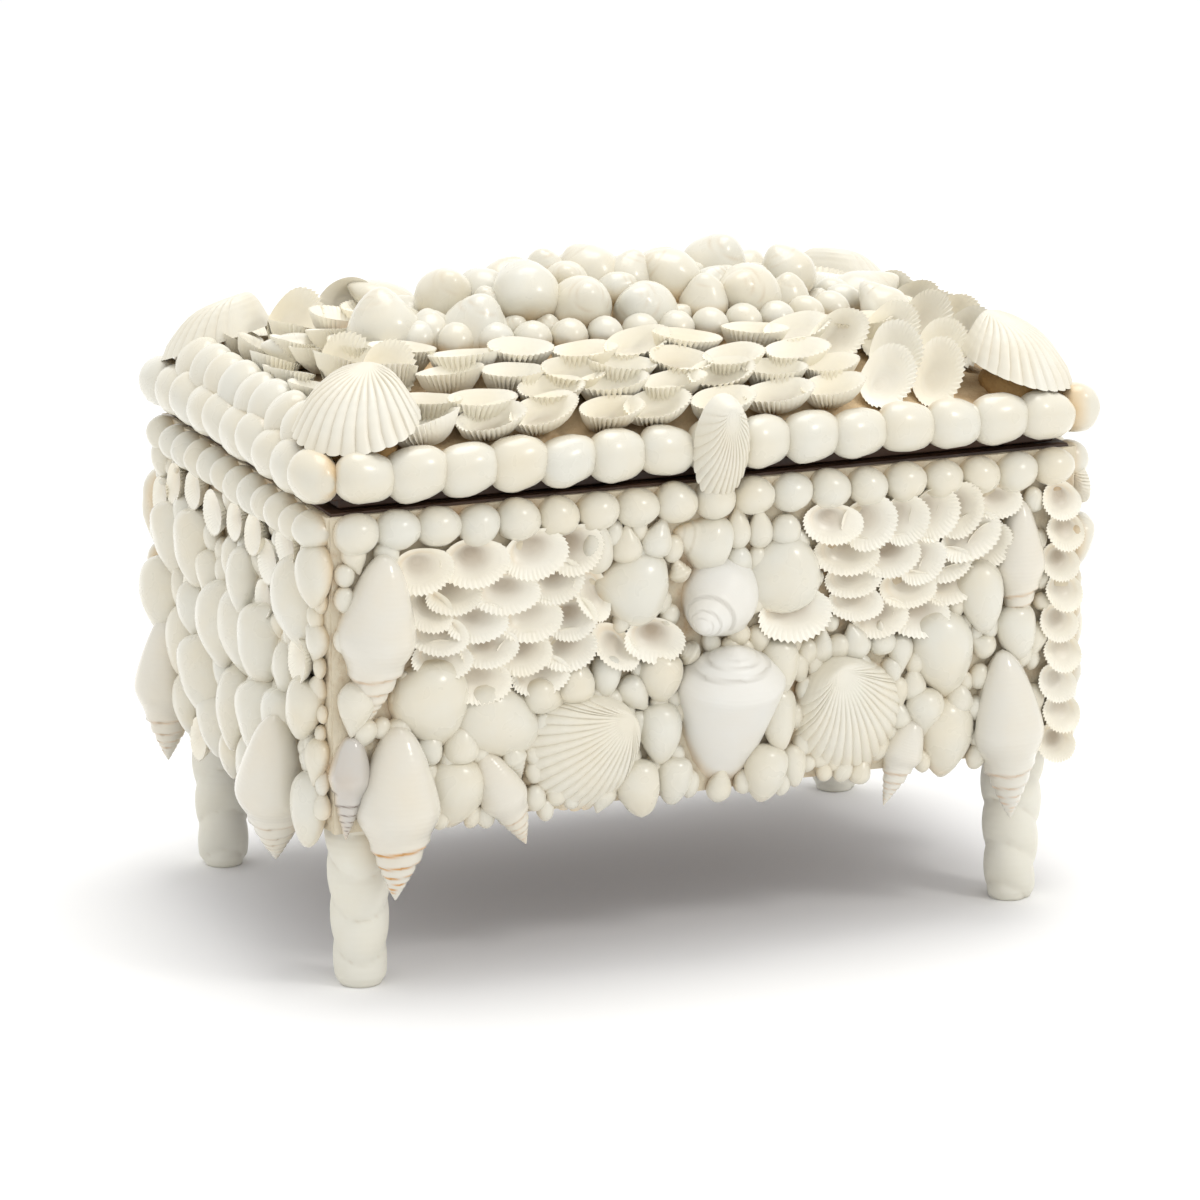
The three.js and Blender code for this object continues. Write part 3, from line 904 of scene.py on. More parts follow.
@dataclass
class Carcass:
    """The wooden case and lid board with the plaster that the shells are set in.

    Attributes:
        finishes: every finish on the box.
        wall, arris: thickness of the case's walls and bevel of its edges.
        skin, sunk: mean depth of the wall plaster, and how far it starts off the wood.
        slab_lap, slab_drop: how far it passes the corners and stops below the rim.
        lip_inset, core_inset, board_inset: how far the lid's lip, its core and its board lie in
            from the case's faces.
        shadow_gap, board_arris: height of the core seen under the board, and bevel of its edges.
        board: thickness of the lid's board.
        edge_inset, edge_squareness: outline at the foot of the lid's slope.
        ring_half, crown_half, roundness: outlines of the bead ring and of the crown inside it.
        rise, slope_curve: height of the slope, and the power of its section.
        crown_rise: height of the crown over the slope.
        crown_share, slope_share: shares of the plaster's mesh in its crown and in its slope.
    """

    finishes: Finishes
    wall: float = 8.0
    arris: float = 0.6
    skin: float = 1.7
    sunk: float = 0.15
    slab_lap: float = 0.8
    slab_drop: float = 1.0
    lip_inset: float = 9.0
    core_inset: float = 4.0
    board_inset: float = 0.5
    shadow_gap: float = 3.6
    board_arris: float = 0.4
    board: float = 6.0
    edge_inset: float = 2.0
    edge_squareness: float = 9.0
    ring_half: tuple[float, float] = (83.0, 32.0)
    crown_half: tuple[float, float] = (73.0, 23.5)
    roundness: float = 2.8
    rise: float = 20.0
    slope_curve: float = 0.85
    crown_rise: float = 13.0
    crown_share: float = 0.25
    slope_share: float = 0.60

    @staticmethod
    def settle(bm: bmesh.types.BMesh, name: str, material: bpy.types.Material, slot: str,
               replaces: Iterable[str] = ()) -> None:
        """Makes a piece of a shape and gives it to the frame.

        Args:
            bm: the shape, in millimetres.
            name: the piece's name.
            material: its finish.
            slot: not used.
            replaces: frame nodes that it stands for.
        """
        mesh = as_mesh(name, bm, MM)
        shade(mesh, 35.0)
        mesh.materials.append(material)
        hand_over(as_object(name, mesh), replaces)

    def build_case(self) -> None:
        """The hollow wooden case, open at the top."""
        bm = bmesh.new()
        add_block(bm, CASE_LOW, CASE_HIGH)
        top = max(bm.faces, key=lambda f: f.calc_center_median().z)
        bmesh.ops.inset_region(bm, faces=[top], thickness=self.wall)
        made = bmesh.ops.extrude_discrete_faces(bm, faces=[top])["faces"]
        depth = CASE_HIGH.z - CASE_LOW.z - self.wall
        bmesh.ops.translate(bm, vec=(0, 0, -depth), verts=made[0].verts)
        face_out(bm)
        bmesh.ops.bevel(bm, geom=bm.edges, offset=self.arris, segments=2, profile=0.5, affect="EDGES",
                        material=-1)
        self.settle(bm, "wooden_case", self.finishes.wood, "case_wood", ["case_body"])

    def build_wall_plaster(self, wall: Wall) -> None:
        """The plaster on one wall: a shallow, uneven slab.

        Args:
            wall: the wall.
        """
        high = RIM_Z - self.slab_drop
        bm = bmesh.new()
        bmesh.ops.create_grid(bm, x_segments=int(wall.half / 1.6), y_segments=60, size=1.0)
        for vert in bm.verts:
            across = vert.co.x * (wall.half + self.slab_lap)
            height = FLOOR_Z + (vert.co.y + 1) / 2 * (high - FLOOR_Z)
            place = Vector((across, height, wall.reach))
            depth = self.skin + noise.noise(place * 0.11) * 1.4 + noise.noise(place * 0.45) * 0.5
            vert.co = wall.frame(across, height) @ Vector((0, 0, depth))
        back = bmesh.ops.extrude_face_region(bm, geom=bm.faces[:])["geom"]
        for vert in (v for v in back if isinstance(v, bmesh.types.BMVert)):
            depth = (vert.co - wall.out * wall.reach).dot(wall.out)
            vert.co -= wall.out * (depth - self.sunk)
        face_out(bm)
        self.settle(bm, f"{wall.side}_plaster", self.finishes.plaster, "plaster")

    @staticmethod
    def oval(angle: float, half: tuple[float, float], squareness: float) -> Vector:
        """A point of a rounded rectangle.

        Args:
            angle: heading of the point from the middle, before stretching.
            half: half-width and half-depth.
            squareness: 2 for an ellipse and more for squarer corners.

        Returns:
            The point.
        """
        c, s = math.cos(angle), math.sin(angle)
        reach = (abs(c) ** squareness + abs(s) ** squareness) ** (-1 / squareness)
        return Vector((half[0] * reach * c, half[1] * reach * s, 0))

    def ring(self, angle: float) -> Vector:
        """A point of the bead ring's outline."""
        return self.oval(angle, self.ring_half, self.roundness)

    def slope(self, angle: float, t: float) -> Vector:
        """A point of the lid's slope.

        Args:
            angle: its heading.
            t: 0 at the lid's edge and 1 at the bead ring.

        Returns:
            The point.
        """
        foot = (HALF_W - self.edge_inset, HALF_D - self.edge_inset)
        point = self.oval(angle, foot, self.edge_squareness).lerp(self.ring(angle), t)
        point.z = LID_TOP_Z + self.rise * max(0.0, t) ** self.slope_curve
        return point

    def crown_height(self, spread: float) -> float:
        """Height of the mound inside the ring: spread is 0 at its middle and 1 at its foot."""
        return LID_TOP_Z + self.rise + self.crown_rise * math.cos(math.pi / 2 * spread ** 2)

    def crown(self, angle: float, spread: float) -> Vector:
        """A point of the mound inside the ring.

        Args:
            angle: its heading.
            spread: 0 at the middle and 1 at the foot.

        Returns:
            The point.
        """
        point = self.oval(angle, self.crown_half, self.roundness) * spread
        point.z = self.crown_height(spread)
        return point

    def dome(self, p: Vector) -> Shaped:
        """Shapes one point of the ball into the plaster on the lid.

        Args:
            p: the point.

        Returns:
            Its new place, with no stain and no line.
        """
        angle = math.atan2(p.y, p.x)
        polar = from_top(p.z)
        foot = self.crown_share + self.slope_share
        if polar < self.crown_share:
            point = self.crown(angle, polar / self.crown_share)
        elif polar < foot:
            point = self.slope(angle, 1 - (polar - self.crown_share) / self.slope_share)
        else:
            under = (polar - foot) / (1 - foot)
            point = self.slope(angle, 0.0) * (1 - under)
            point.z = LID_TOP_Z - self.board * smooth(0, 0.35, under)
        if polar < foot + 0.01:
            point.z += noise.noise(point * 0.12) * 1.0 + noise.noise(point * 0.4) * 0.5
        return point, 0.0, 0.0

    def build_lid(self) -> None:
        """The lid's board with its lip and shadow gap, and the plaster dome on it."""
        bm = bmesh.new()
        for low, high, inset in ((LIP_Z, LID_Z + 1, self.lip_inset),
                                 (LID_Z, LID_TOP_Z - self.board, self.core_inset),
                                 (LID_Z + self.shadow_gap, LID_TOP_Z, self.board_inset)):
            x, y = HALF_W - inset, HALF_D - inset
            add_block(bm, Vector((-x, -y, low)), Vector((x, y, high)))
        bmesh.ops.bevel(bm, geom=bm.edges, offset=self.board_arris, segments=1, profile=0.5,
                        affect="EDGES", material=-1)
        self.settle(bm, "lid_board", self.finishes.wood, "case_wood", ["lid_panel"])
        bm = bmesh.new()
        bm.from_mesh(shaped_sphere("lid_plaster", 160, 60, self.dome).mesh)
        self.settle(bm, "lid_plaster", self.finishes.amber, "plaster")

    def build(self) -> None:
        """Builds the case, its plaster and the lid."""
        self.build_case()
        for wall in Wall:
            self.build_wall_plaster(wall)
        self.build_lid()


@dataclass
class Legs:
    """Four turret shells, cut flat at the foot.

    Attributes:
        finishes: every finish on the box.
        whorls, slant: how many whorls wind round a leg, and how far each climbs on its way round.
        foot, flare: half-width at the foot, and how much more it is at the top.
        suture: depth of the sutures, as a share of the half-width.
        cap: share of the mesh in each flat end.
        line_count: growth lines from foot to top.
        margin: how much wider the leg is than its frame node.
        front_turn: turn of the front left leg, in degrees.
    """

    finishes: Finishes
    whorls: float = 3.7
    slant: float = 0.45
    foot: float = 0.37
    flare: float = 0.13
    suture: float = 0.16
    cap: float = 0.05
    line_count: float = 22.0
    margin: float = 1.4
    front_turn: float = 200.0

    def rule(self, p: Vector) -> Shaped:
        """Shapes one point of the ball into a leg of unit height and width that stands on z = 0.

        Args:
            p: the point.

        Returns:
            Its new place, its stain and its line.
        """
        polar = from_top(p.z)
        side = min(1.0, max(0.0, 1 - (polar - self.cap) / (1 - 2 * self.cap)))
        angle = math.atan2(p.y, p.x)
        phase = side * self.whorls + self.slant * math.sin(angle + 0.6)
        phase -= math.floor(phase)
        swell = math.sin(math.pi * phase ** 0.85) ** 0.6
        radius = (self.foot + self.flare * side) * (1 - self.suture + self.suture * swell)
        radius *= 0.86 + 0.14 * smooth(0, 0.06, side)
        radius *= min(1.0, polar / self.cap, (1 - polar) / self.cap)
        point = Vector((radius * math.cos(angle), radius * math.sin(angle), side))
        return point, smooth(0.25, 0.0, swell), side * self.line_count

    def build(self) -> None:
        """Builds the four legs where the frame's stand."""
        form = shaped_sphere("turret_leg", 40, 56, self.rule, 75.0)
        for name in ("front_left", "front_right", "back_left", "back_right"):
            node = f"leg_{name}"
            low, high = box_mm(node)
            middle = (low + high) / 2
            cluster = Cluster(f"turret_{node}")
            turn = self.front_turn if name == "front_left" else cluster.dice.uniform(-30, 30)
            ground = Matrix.Translation((middle.x, middle.y, low.z))
            size = high - low + Vector((self.margin, self.margin, 0))
            cluster.add(form, set_down(ground, tuple(size), spin=turn), tone=0.35)
            cluster.finish(self.finishes.leg, [node])


@dataclass
class BeadRows:
    """The rows of bead shells under the case's rim, on the lid's edges and round the crown.

    Attributes:
        kinds, finishes, carcass: the shells, the finishes and the box that they are set on.
        long_counts, short_counts: beads of a case row and of a lid row, on a long and a short wall.
        case_bead, lid_bead: width along the row, height and depth of a bead.
        case_sway, lid_sway: how far a bead turns to either side, in degrees.
        ring_count: beads round the crown.
        upper_count, upper_start, upper_pitch, upper_rise: beads of the higher row on each short edge of
            the lid, where it starts, their distance and their height over the board.
    """

    kinds: Kinds
    finishes: Finishes
    carcass: Carcass
    long_counts: tuple[int, int] = (19, 15)
    short_counts: tuple[int, int] = (12, 10)
    case_bead: Size = (14.2, 13.6, 14.0)
    lid_bead: Size = (19.6, 17.4, 15.0)
    case_sway: float = 24.0
    lid_sway: float = 12.0
    ring_count: int = 31
    upper_count: int = 8
    upper_start: float = -54.0
    upper_pitch: float = 15.4
    upper_rise: float = 8.5

    def row(self, node: str, wall: Wall, count: int, size: Size, forms: list[Form], sway: float) -> None:
        """One row along a wall, spread over its frame node.

        Args:
            node: the frame node that it stands for.
            wall: the wall it runs along.
            count: how many beads.
            size: width along the row, height and depth of a bead.
            forms: the kinds to choose from.
            sway: how far a bead turns to either side, in degrees.
        """
        low, high = box_mm(node)
        start, end = sorted((wall.right.dot(low), wall.right.dot(high)))
        pitch = (end - start - size[0]) / (count - 1)
        cluster = Cluster(f"{node}_fine")
        jig = cluster.dice.uniform
        for i in range(count):
            across = start + size[0] / 2 + i * pitch
            ground = wall.frame(across, (low.z + high.z) / 2 + jig(-0.5, 0.5))
            long, tall = size[0] * jig(1.02, 1.12), size[1] * jig(0.94, 1.04)
            place = set_down(ground, (tall, long, size[2]), out=size[2] * 0.22, spin=-90 + jig(-sway, sway),
                             lean=jig(-14, 4))
            cluster.add(cluster.dice.choice(forms), place, ground)
        cluster.finish(self.finishes.polished, replaces=[node])

    def ring(self) -> None:
        """The oval of beads at the foot of the crown."""
        low, _ = box_mm("lid_bead_ring")
        outline = [self.carcass.ring(angle) for angle in np.linspace(0, TAU, 721)]
        steps = paced(outline)
        cluster = Cluster("crown_bead_ring")
        jig = cluster.dice.uniform
        for i in range(self.ring_count):
            along = steps[-1] * i / self.ring_count
            x, y = (np.interp(along, steps, [point[k] for point in outline]) for k in (0, 1))
            ground = Matrix.Translation((x, y, low.z))
            heading = math.degrees(math.atan2(y * 4, x))
            place = set_down(ground, (jig(12, 13.4), jig(12.4, 14), jig(11.5, 12.5)), out=4.6,
                             spin=heading - 90, lean=jig(-20, 5))
            cluster.add(cluster.dice.choice(self.kinds.beads), place, ground)
        cluster.finish(self.finishes.polished, replaces=["lid_bead_ring"])

    def upper_rows(self) -> None:
        """The second, higher row on each short edge of the lid."""
        cluster = Cluster("lid_upper_bead_rows")
        jig = cluster.dice.uniform
        for wall in (Wall.LEFT, Wall.RIGHT):
            for i in range(self.upper_count):
                across = self.upper_start + i * self.upper_pitch
                ground = wall.frame(across, LID_TOP_Z + self.upper_rise)
                place = set_down(ground, (jig(17, 19), jig(17, 19), 12), out=-1.5, spin=jig(-100, -60),
                                 lean=-8, roll=-32)
                cluster.add(cluster.dice.choice(self.kinds.ovals), place)
        cluster.finish(self.finishes.polished)

    def build(self) -> None:
        """Builds every row."""
        for wall in Wall:
            counts = self.long_counts if wall in (Wall.FRONT, Wall.BACK) else self.short_counts
            self.row(f"case_beads_{wall.side}", wall, counts[0], self.case_bead, self.kinds.beads,
                     self.case_sway)
            self.row(f"lid_beads_{wall.side}", wall, counts[1], self.lid_bead, self.kinds.ovals,
                     self.lid_sway)
        self.ring()
        self.upper_rows()


class Kind(Enum):
    """Kinds of small shell laid on a wall."""

    CUP = "cup"
    BUBBLE = "bubble"
    DROP = "drop"
    BEAD = "bead"
    NASSA = "nassa"


@dataclass
class Spot:
    """One shell on a wall: its kind, its middle, its size and its turn in the wall."""

    kind: Kind
    across: float
    height: float
    width: float
    length: float
    spin: float = 0.0


def spots(kind: Kind, *rows: tuple[float, ...]) -> list[Spot]:
    """Spots of one kind from rows of across, height, width, length and spin."""
    return [Spot(kind, *row) for row in rows]


FRONT_SPOTS: list[Spot] = [
    # the left field of ark valves, row by row from the top
    *spots(Kind.CUP, (-104, 142, 22, 15, 5), (-86, 143, 24, 16, 0), (-65, 144, 23, 16, 15),
           (-51, 144, 20, 16, 25), (-93, 133, 20, 13, 0), (-75, 132, 24, 14, 0), (-57, 134, 19, 14, 25),
           (-45, 129, 21, 13, -75), (-102, 129, 19, 14, -30), (-85, 123, 22, 13, 0),
           (-66, 122, 22, 14, 8), (-52, 121, 18, 14, 20), (-98, 120, 21, 13, -10), (-81, 114, 21, 13, 0),
           (-69, 111, 20, 14, 10), (-53, 111, 20, 14, 12), (-37, 110, 21, 13, -48),
           (-23, 111, 22, 15, -10), (-97, 112, 22, 13, -8), (-84, 103, 22, 14, 0), (-63, 103, 21, 13, 8)),
    # the right field
    *spots(Kind.CUP, (41, 144, 22, 14, -10), (54, 143, 21, 17, 30), (67, 143, 19, 16, 50),
           (78, 144, 21, 16, 55), (88, 144, 21, 15, 62), (102, 146, 19, 12, 0), (46, 133, 24, 14, -8),
           (63, 131, 21, 14, 15), (74, 128, 19, 14, 40), (92, 135, 24, 15, 28), (99, 131, 19, 14, 50),
           (49, 124, 21, 12, 0), (83, 126, 20, 12, 10), (69, 119, 21, 13, -3), (86, 119, 20, 13, 22),
           (50, 116, 21, 12, -8), (59, 110, 21, 13, 10), (74, 109, 22, 14, 2), (27, 115, 27, 18, 5)),
    # the column down the right corner
    *spots(Kind.CUP, *((126 + (i % 2) * 2, 144 - 10.6 * i, 15.5, 13.5, -35) for i in range(9))),
    # bubbles between the larger shells
    *spots(Kind.BUBBLE, (-42, 143, 11, 17, 0), (-50, 99, 13, 14, 0), (-39, 100, 10, 14, 170),
           (-20, 98, 15, 16, 180), (-20, 79, 15, 20, 180), (-28, 61, 15, 19, 190), (-15, 62, 12, 16, 175),
           (23, 97, 13, 19, 180), (23, 79, 12, 21, 178), (18, 61, 15, 19, 170), (29, 62, 9, 14, 180),
           (97, 114, 16, 24, 185), (111, 100, 14, 19, 188), (90, 78, 10, 10, 0), (-101, 82, 11, 9, 90),
           (-90, 82, 12, 12, 0)),
    # drops and small beads
    *spots(Kind.DROP, (-32, 143, 11, 12, 0), (-21, 144, 11, 13, -20), (8, 145, 9, 14, 0),
           (16, 144, 9, 14, 8), (9, 134, 9, 11, 230), (-29, 93, 11, 13, 215), (-61, 95, 12, 15, 250),
           (51, 102, 11, 12, 20), (61, 102, 10, 11, 10), (68, 97, 9, 13, 180), (73, 85, 9, 12, 0),
           (77, 76, 14, 15, 180), (99, 96, 9, 9, 60), (-126, 99, 13, 17, 170)),
    *spots(Kind.BEAD, (25, 143, 11, 11, 0), (98, 85, 8, 9, 0), (-64, 61, 8, 9, 0)),
    *spots(Kind.NASSA, (-13, 133, 8, 9, 20), (-10, 105, 9, 9, 60), (-71, 74, 9, 13, 200)),
]


SIDE_SPOTS: list[Spot] = [
    *spots(Kind.BUBBLE, (71, 96, 19, 20, 175), (33, 81, 24, 30, 200), (4, 79, 22, 28, 190),
           (-9, 105, 25, 29, 200), (14, 125, 20, 23, 190), (-28, 82, 24, 28, 195),
           (-36, 125, 22, 26, 190), (-72, 100, 24, 27, 185), (-53, 88, 19, 24, 180),
           (-50, 66, 18, 22, 170), (-21, 66, 17, 22, 190), (18, 63, 18, 20, 170), (32, 108, 22, 26, 190),
           (-62, 122, 20, 26, 190), (50, 84, 20, 26, 185), (-5, 60, 15, 17, 180), (52, 104, 15, 19, 170),
           (72, 62, 17, 24, 185), (-38, 102, 19, 22, 200)),
    *spots(Kind.CUP, (69, 111, 20, 15, 0), (57, 146, 22, 13, -10), (26, 143, 22, 14, 10),
           (-39, 111, 22, 15, 0), (6, 143, 20, 13, 8), (-16, 141, 22, 14, -15), (-38, 144, 20, 13, 0),
           (-58, 142, 22, 14, 20), (-74, 134, 20, 14, 10), (40, 137, 22, 14, -8), (34, 123, 20, 13, 5)),
    *spots(Kind.DROP, (16, 98, 12, 15, 200), (29, 99, 11, 13, 170), (-12, 121, 11, 13, 190),
           (78, 80, 12, 15, 180), (44, 66, 12, 14, 175), (-64, 76, 12, 14, 180)),
]


Fill = tuple[Kind, float, float, int]
FRONT_FILL: list[Fill] = [(Kind.DROP, 8, 12, 1500), (Kind.BEAD, 6, 8, 2500)]
SIDE_FILL: list[Fill] = [(Kind.BUBBLE, 21, 26, 600), (Kind.CUP, 20, 24, 300), (Kind.BUBBLE, 13, 17, 1500),
                         (Kind.DROP, 8, 12, 2500), (Kind.BEAD, 5.5, 8, 3000)]


class Shape(Enum):
    """Kinds of larger shell, as named among the kinds."""

    VASE = "vase"
    MOON = "moon"
    FAN = "fan"
    CONCH = "conch"
    TOWER = "tower"
    BUBBLE = "bubbles"


class Look(Enum):
    """Finishes of the larger shells, as named among the finishes."""

    CHALKY = "chalky"
    POLISHED = "polished"
    COCKLE = "cockle"
    CONCH = "conch"
    PEARL = "pearl"


@dataclass
class Hero:
    """A larger shell that stands for a frame node.

    Attributes:
        node, shape, look: the frame node, its kind of shell and its finish.
        width, length, depth: its size.
        spin, lean, roll, out: how it is set down on the wall.
        tone, bands: how warm it is, and how strong its stain, which on the fans is painted shade between the
            ribs.
    """

    node: str
    shape: Shape
    width: float
    length: float
    depth: float
    spin: float = 0.0
    lean: float = 0.0
    out: float = 3.0
    roll: float = 0.0
    look: Look = Look.CONCH
    tone: float = 0.3
    bands: float = 0.35


HEROES: dict[Wall, list[Hero]] = {
    Wall.FRONT: [
        Hero("front_vase_shell", Shape.VASE, 38, 55, 30, 0, 20, 2, 0, Look.CHALKY, 0.0, 0.8),
        Hero("front_moon_shell", Shape.MOON, 28, 32, 27, 118, 48, 5, 0, Look.CHALKY, 0.0, 0.8),
        Hero("front_moon_shell_small", Shape.MOON, 19, 20, 17, 70, 0, 2, 0, Look.POLISHED, 0.1),
        Hero("front_scallop_left", Shape.FAN, 43, 42, 12, -52, 0, 1.5, 0, Look.COCKLE, 0.35),
        Hero("front_scallop_right", Shape.FAN, 43, 44, 12, 22, 0, 1.5, 0, Look.COCKLE, 0.3),
        Hero("front_conch_upper_left", Shape.CONCH, 26, 58, 25, 174, -4, 5, 60, Look.CONCH, 0.3),
        Hero("front_conch_lower_left", Shape.CONCH, 28, 59, 27, 178, 0, 6, 75, Look.CONCH, 0.35, 1.0),
        Hero("front_conch_upper_right", Shape.CONCH, 19, 47, 18, 180, 0, 4, 100, Look.CONCH, 0.6),
        Hero("front_conch_lower_right", Shape.CONCH, 25, 60, 24, 184, 0, 6, 20, Look.CONCH, 0.1),
        Hero("front_pearl_conch", Shape.TOWER, 14, 35, 14, 176, 0, 3, 0, Look.PEARL, 0.3, 1.0),
        Hero("front_slant_conch_left", Shape.CONCH, 16, 37, 16, 205, 0, 4, 40, Look.CONCH, 0.6),
        Hero("front_slant_conch_right", Shape.TOWER, 14, 32, 14, 160, 0, 4, 80, Look.CONCH, 0.3),
        Hero("front_bubble_upper_left", Shape.BUBBLE, 26, 24, 20, 80, 0, 2, 0, Look.POLISHED, 0.1),
        Hero("front_bubble_upper_right", Shape.BUBBLE, 27, 28, 20, 110, 0, 2, 0, Look.POLISHED, 0.1),
        Hero("front_bubble_lower_left", Shape.BUBBLE, 27, 29, 20, 200, 0, 2, 0, Look.POLISHED, 0.4),
        Hero("front_bubble_slant_left", Shape.BUBBLE, 25, 33, 20, 242, 0, 1, 0, Look.POLISHED, 0.2),
        Hero("front_bubble_square", Shape.BUBBLE, 22, 24, 18, 170, 0, 1, 0, Look.POLISHED, 0.5),
        Hero("front_bubble_lower_right", Shape.BUBBLE, 23, 31, 20, 190, 0, 2, 0, Look.POLISHED, 0.1),
        Hero("front_bubble_foot_right", Shape.BUBBLE, 21, 28, 18, 178, 0, 1, 0, Look.POLISHED, 0.4),
    ],
    Wall.BACK: [
        Hero("back_moon_shell", Shape.MOON, 35, 38, 33, 128, 30, 5, 60, Look.CHALKY, 0.1),
        Hero("back_scallop_left", Shape.FAN, 43, 42, 12, 45, 0, 1.5, 0, Look.COCKLE, 0.3),
        Hero("back_scallop_right", Shape.FAN, 43, 42, 12, -45, 0, 1.5, 0, Look.COCKLE, 0.3),
        Hero("back_conch_left", Shape.CONCH, 26, 59, 25, 184, 0, 6, 30, Look.CONCH, 0.4),
        Hero("back_conch_right", Shape.CONCH, 26, 59, 25, 176, 0, 6, 80, Look.CONCH, 0.3),
    ],
    Wall.LEFT: [
        Hero("left_conch_front", Shape.CONCH, 27, 59, 26, 160, -6, 8, 60, Look.CONCH, 0.3),
        Hero("left_conch_back", Shape.CONCH, 25, 55, 24, 174, 0, 6, 20, Look.CONCH, 0.5),
        Hero("left_bubble_front", Shape.BUBBLE, 27, 32, 22, 190, 0, 2, 0, Look.POLISHED, 0.1),
        Hero("left_bubble_middle", Shape.BUBBLE, 29, 32, 22, 190, 0, 2, 0, Look.POLISHED, 0.2),
    ],
}
HEROES[Wall.RIGHT] = [replace(hero, node=hero.node.replace("left", "right"), spin=360 - hero.spin)
                      for hero in HEROES[Wall.LEFT]]


@dataclass
class WallShells:
    """Everything set on one wall of the case.

    Attributes:
        wall, kinds, finishes: the wall, the shells and the finishes.
        cup_width, cup_depth: width and depth of a cup as shares of its listed width and length.
        cup_room, pebble_room, hero_room: how much room a shell takes, as a share of its size.
        bed_depth: how far a small shell's middle stands off the wood.
        margin, foot, head: bare strip at the wall's ends, foot and head when the rest is filled.
        taken: the room taken, as circles of across, height and radius.
    """

    wall: Wall
    kinds: Kinds
    finishes: Finishes
    cup_width: float = 0.94
    cup_depth: float = 0.35
    cup_room: float = 1.05
    pebble_room: float = 0.85
    hero_room: float = 0.92
    bed_depth: float = 2.0
    margin: float = 2.0
    foot: float = 0.5
    head: float = 14.0
    taken: list[tuple[float, float, float]] = field(default_factory=list)

    def claim(self, across: float, height: float, width: float, length: float, spin: float) -> None:
        """Marks the room that a shell takes, as circles along it.

        Args:
            across, height: its middle on the wall.
            width, length: its size.
            spin: its turn in the wall, in degrees.
        """
        radius = min(width, length) / 2
        run = max(width, length) / 2 - radius
        turn = math.radians(spin + (90 if length > width else 0))
        for share in (-1, -0.33, 0.33, 1):
            aside, above = share * run * math.cos(turn), share * run * math.sin(turn)
            self.taken.append((across + aside, height + above, radius))

    def free(self, across: float, height: float, radius: float, lap: float) -> bool:
        """Tells whether a round shell fits somewhere.

        Args:
            across, height: its middle on the wall.
            radius: its radius.
            lap: by what share of their distance it may lap its neighbours.

        Returns:
            True if it fits.
        """
        return all((across - a) ** 2 + (height - h) ** 2 > ((radius + r) * (1 - lap)) ** 2
                   for a, h, r in self.taken)

    def heroes(self) -> None:
        """The larger shells, each in its frame node's place."""
        for hero in HEROES[self.wall]:
            middle = middle_mm(hero.node)
            across = self.wall.right.dot(middle)
            ground = self.wall.frame(across, middle.z)
            bubble = self.kinds.bubbles[len(self.taken) % 4]
            form = bubble if hero.shape is Shape.BUBBLE else getattr(self.kinds, hero.shape.value)
            size = (hero.width, hero.length, hero.depth)
            place = set_down(ground, size, hero.out, hero.spin, hero.lean, hero.roll)
            cluster = Cluster(f"{hero.node}_fine")
            cluster.add(form, place, ground, tone=hero.tone, depth=hero.bands)
            cluster.finish(getattr(self.finishes, hero.look.value), replaces=[hero.node])
            self.claim(across, middle.z, hero.width * self.hero_room, hero.length * self.hero_room, hero.spin)

    def listed(self) -> list[Spot]:
        """The small shells with places of their own on this wall; the right wall mirrors the left."""
        mirrored = [replace(spot, across=-spot.across, spin=-spot.spin) for spot in SIDE_SPOTS]
        return {Wall.FRONT: FRONT_SPOTS, Wall.LEFT: SIDE_SPOTS, Wall.RIGHT: mirrored}.get(self.wall, [])

    def lay_cup(self, spot: Spot, cups: Cluster) -> None:
        """Lays a valve with its hollow side out, tipped less on the walls other than the front.

        Args:
            spot: its place and size.
            cups: the piece that takes it.
        """
        ground = self.wall.frame(spot.across, spot.height)
        depth = spot.length * self.cup_depth
        jig = cups.dice.uniform
        steep = 1.0 if self.wall is Wall.FRONT else 0.3
        place = set_down(ground, (spot.width * self.cup_width, spot.length, depth),
                         out=depth + self.bed_depth + 0.2, spin=spot.spin, lean=jig(-20, -14) * steep,
                         roll=jig(-11, -8) * steep, cup=True)
        cups.add(cups.dice.choice(self.kinds.arks), place, ground, sink=5)

    def lay_pebble(self, spot: Spot, pebbles: Cluster) -> None:
        """Lays a bubble, a drop, a bead or a dog whelk.

        Args:
            spot: its place and size.
            pebbles: the piece that takes it.
        """
        ground = self.wall.frame(spot.across, spot.height)
        jig = pebbles.dice.uniform
        choices = {kind: pebbles.dice.choice(forms) for kind, forms in (
            (Kind.BUBBLE, self.kinds.bubbles), (Kind.DROP, self.kinds.drops), (Kind.BEAD, self.kinds.grains))}
        depth = min(spot.width, spot.length) * (0.85 if self.wall is Wall.FRONT else 0.7)
        place = set_down(ground, (spot.width, spot.length, depth), out=depth * 0.24 + self.bed_depth,
                         spin=spot.spin, lean=jig(-6, 12), roll=jig(-20, 20))
        pebbles.add(choices.get(spot.kind, self.kinds.nassa), place, ground)

    def lay(self, spot: Spot, cups: Cluster, pebbles: Cluster) -> None:
        """Lays one small shell and claims its room.

        Args:
            spot: its kind, place and size.
            cups: the piece that takes the valves.
            pebbles: the piece that takes the rest.
        """
        if spot.kind is Kind.CUP:
            room = self.cup_room
            self.lay_cup(spot, cups)
        else:
            room = self.pebble_room
            self.lay_pebble(spot, pebbles)
        self.claim(spot.across, spot.height, spot.width * room, spot.length * room, spot.spin)

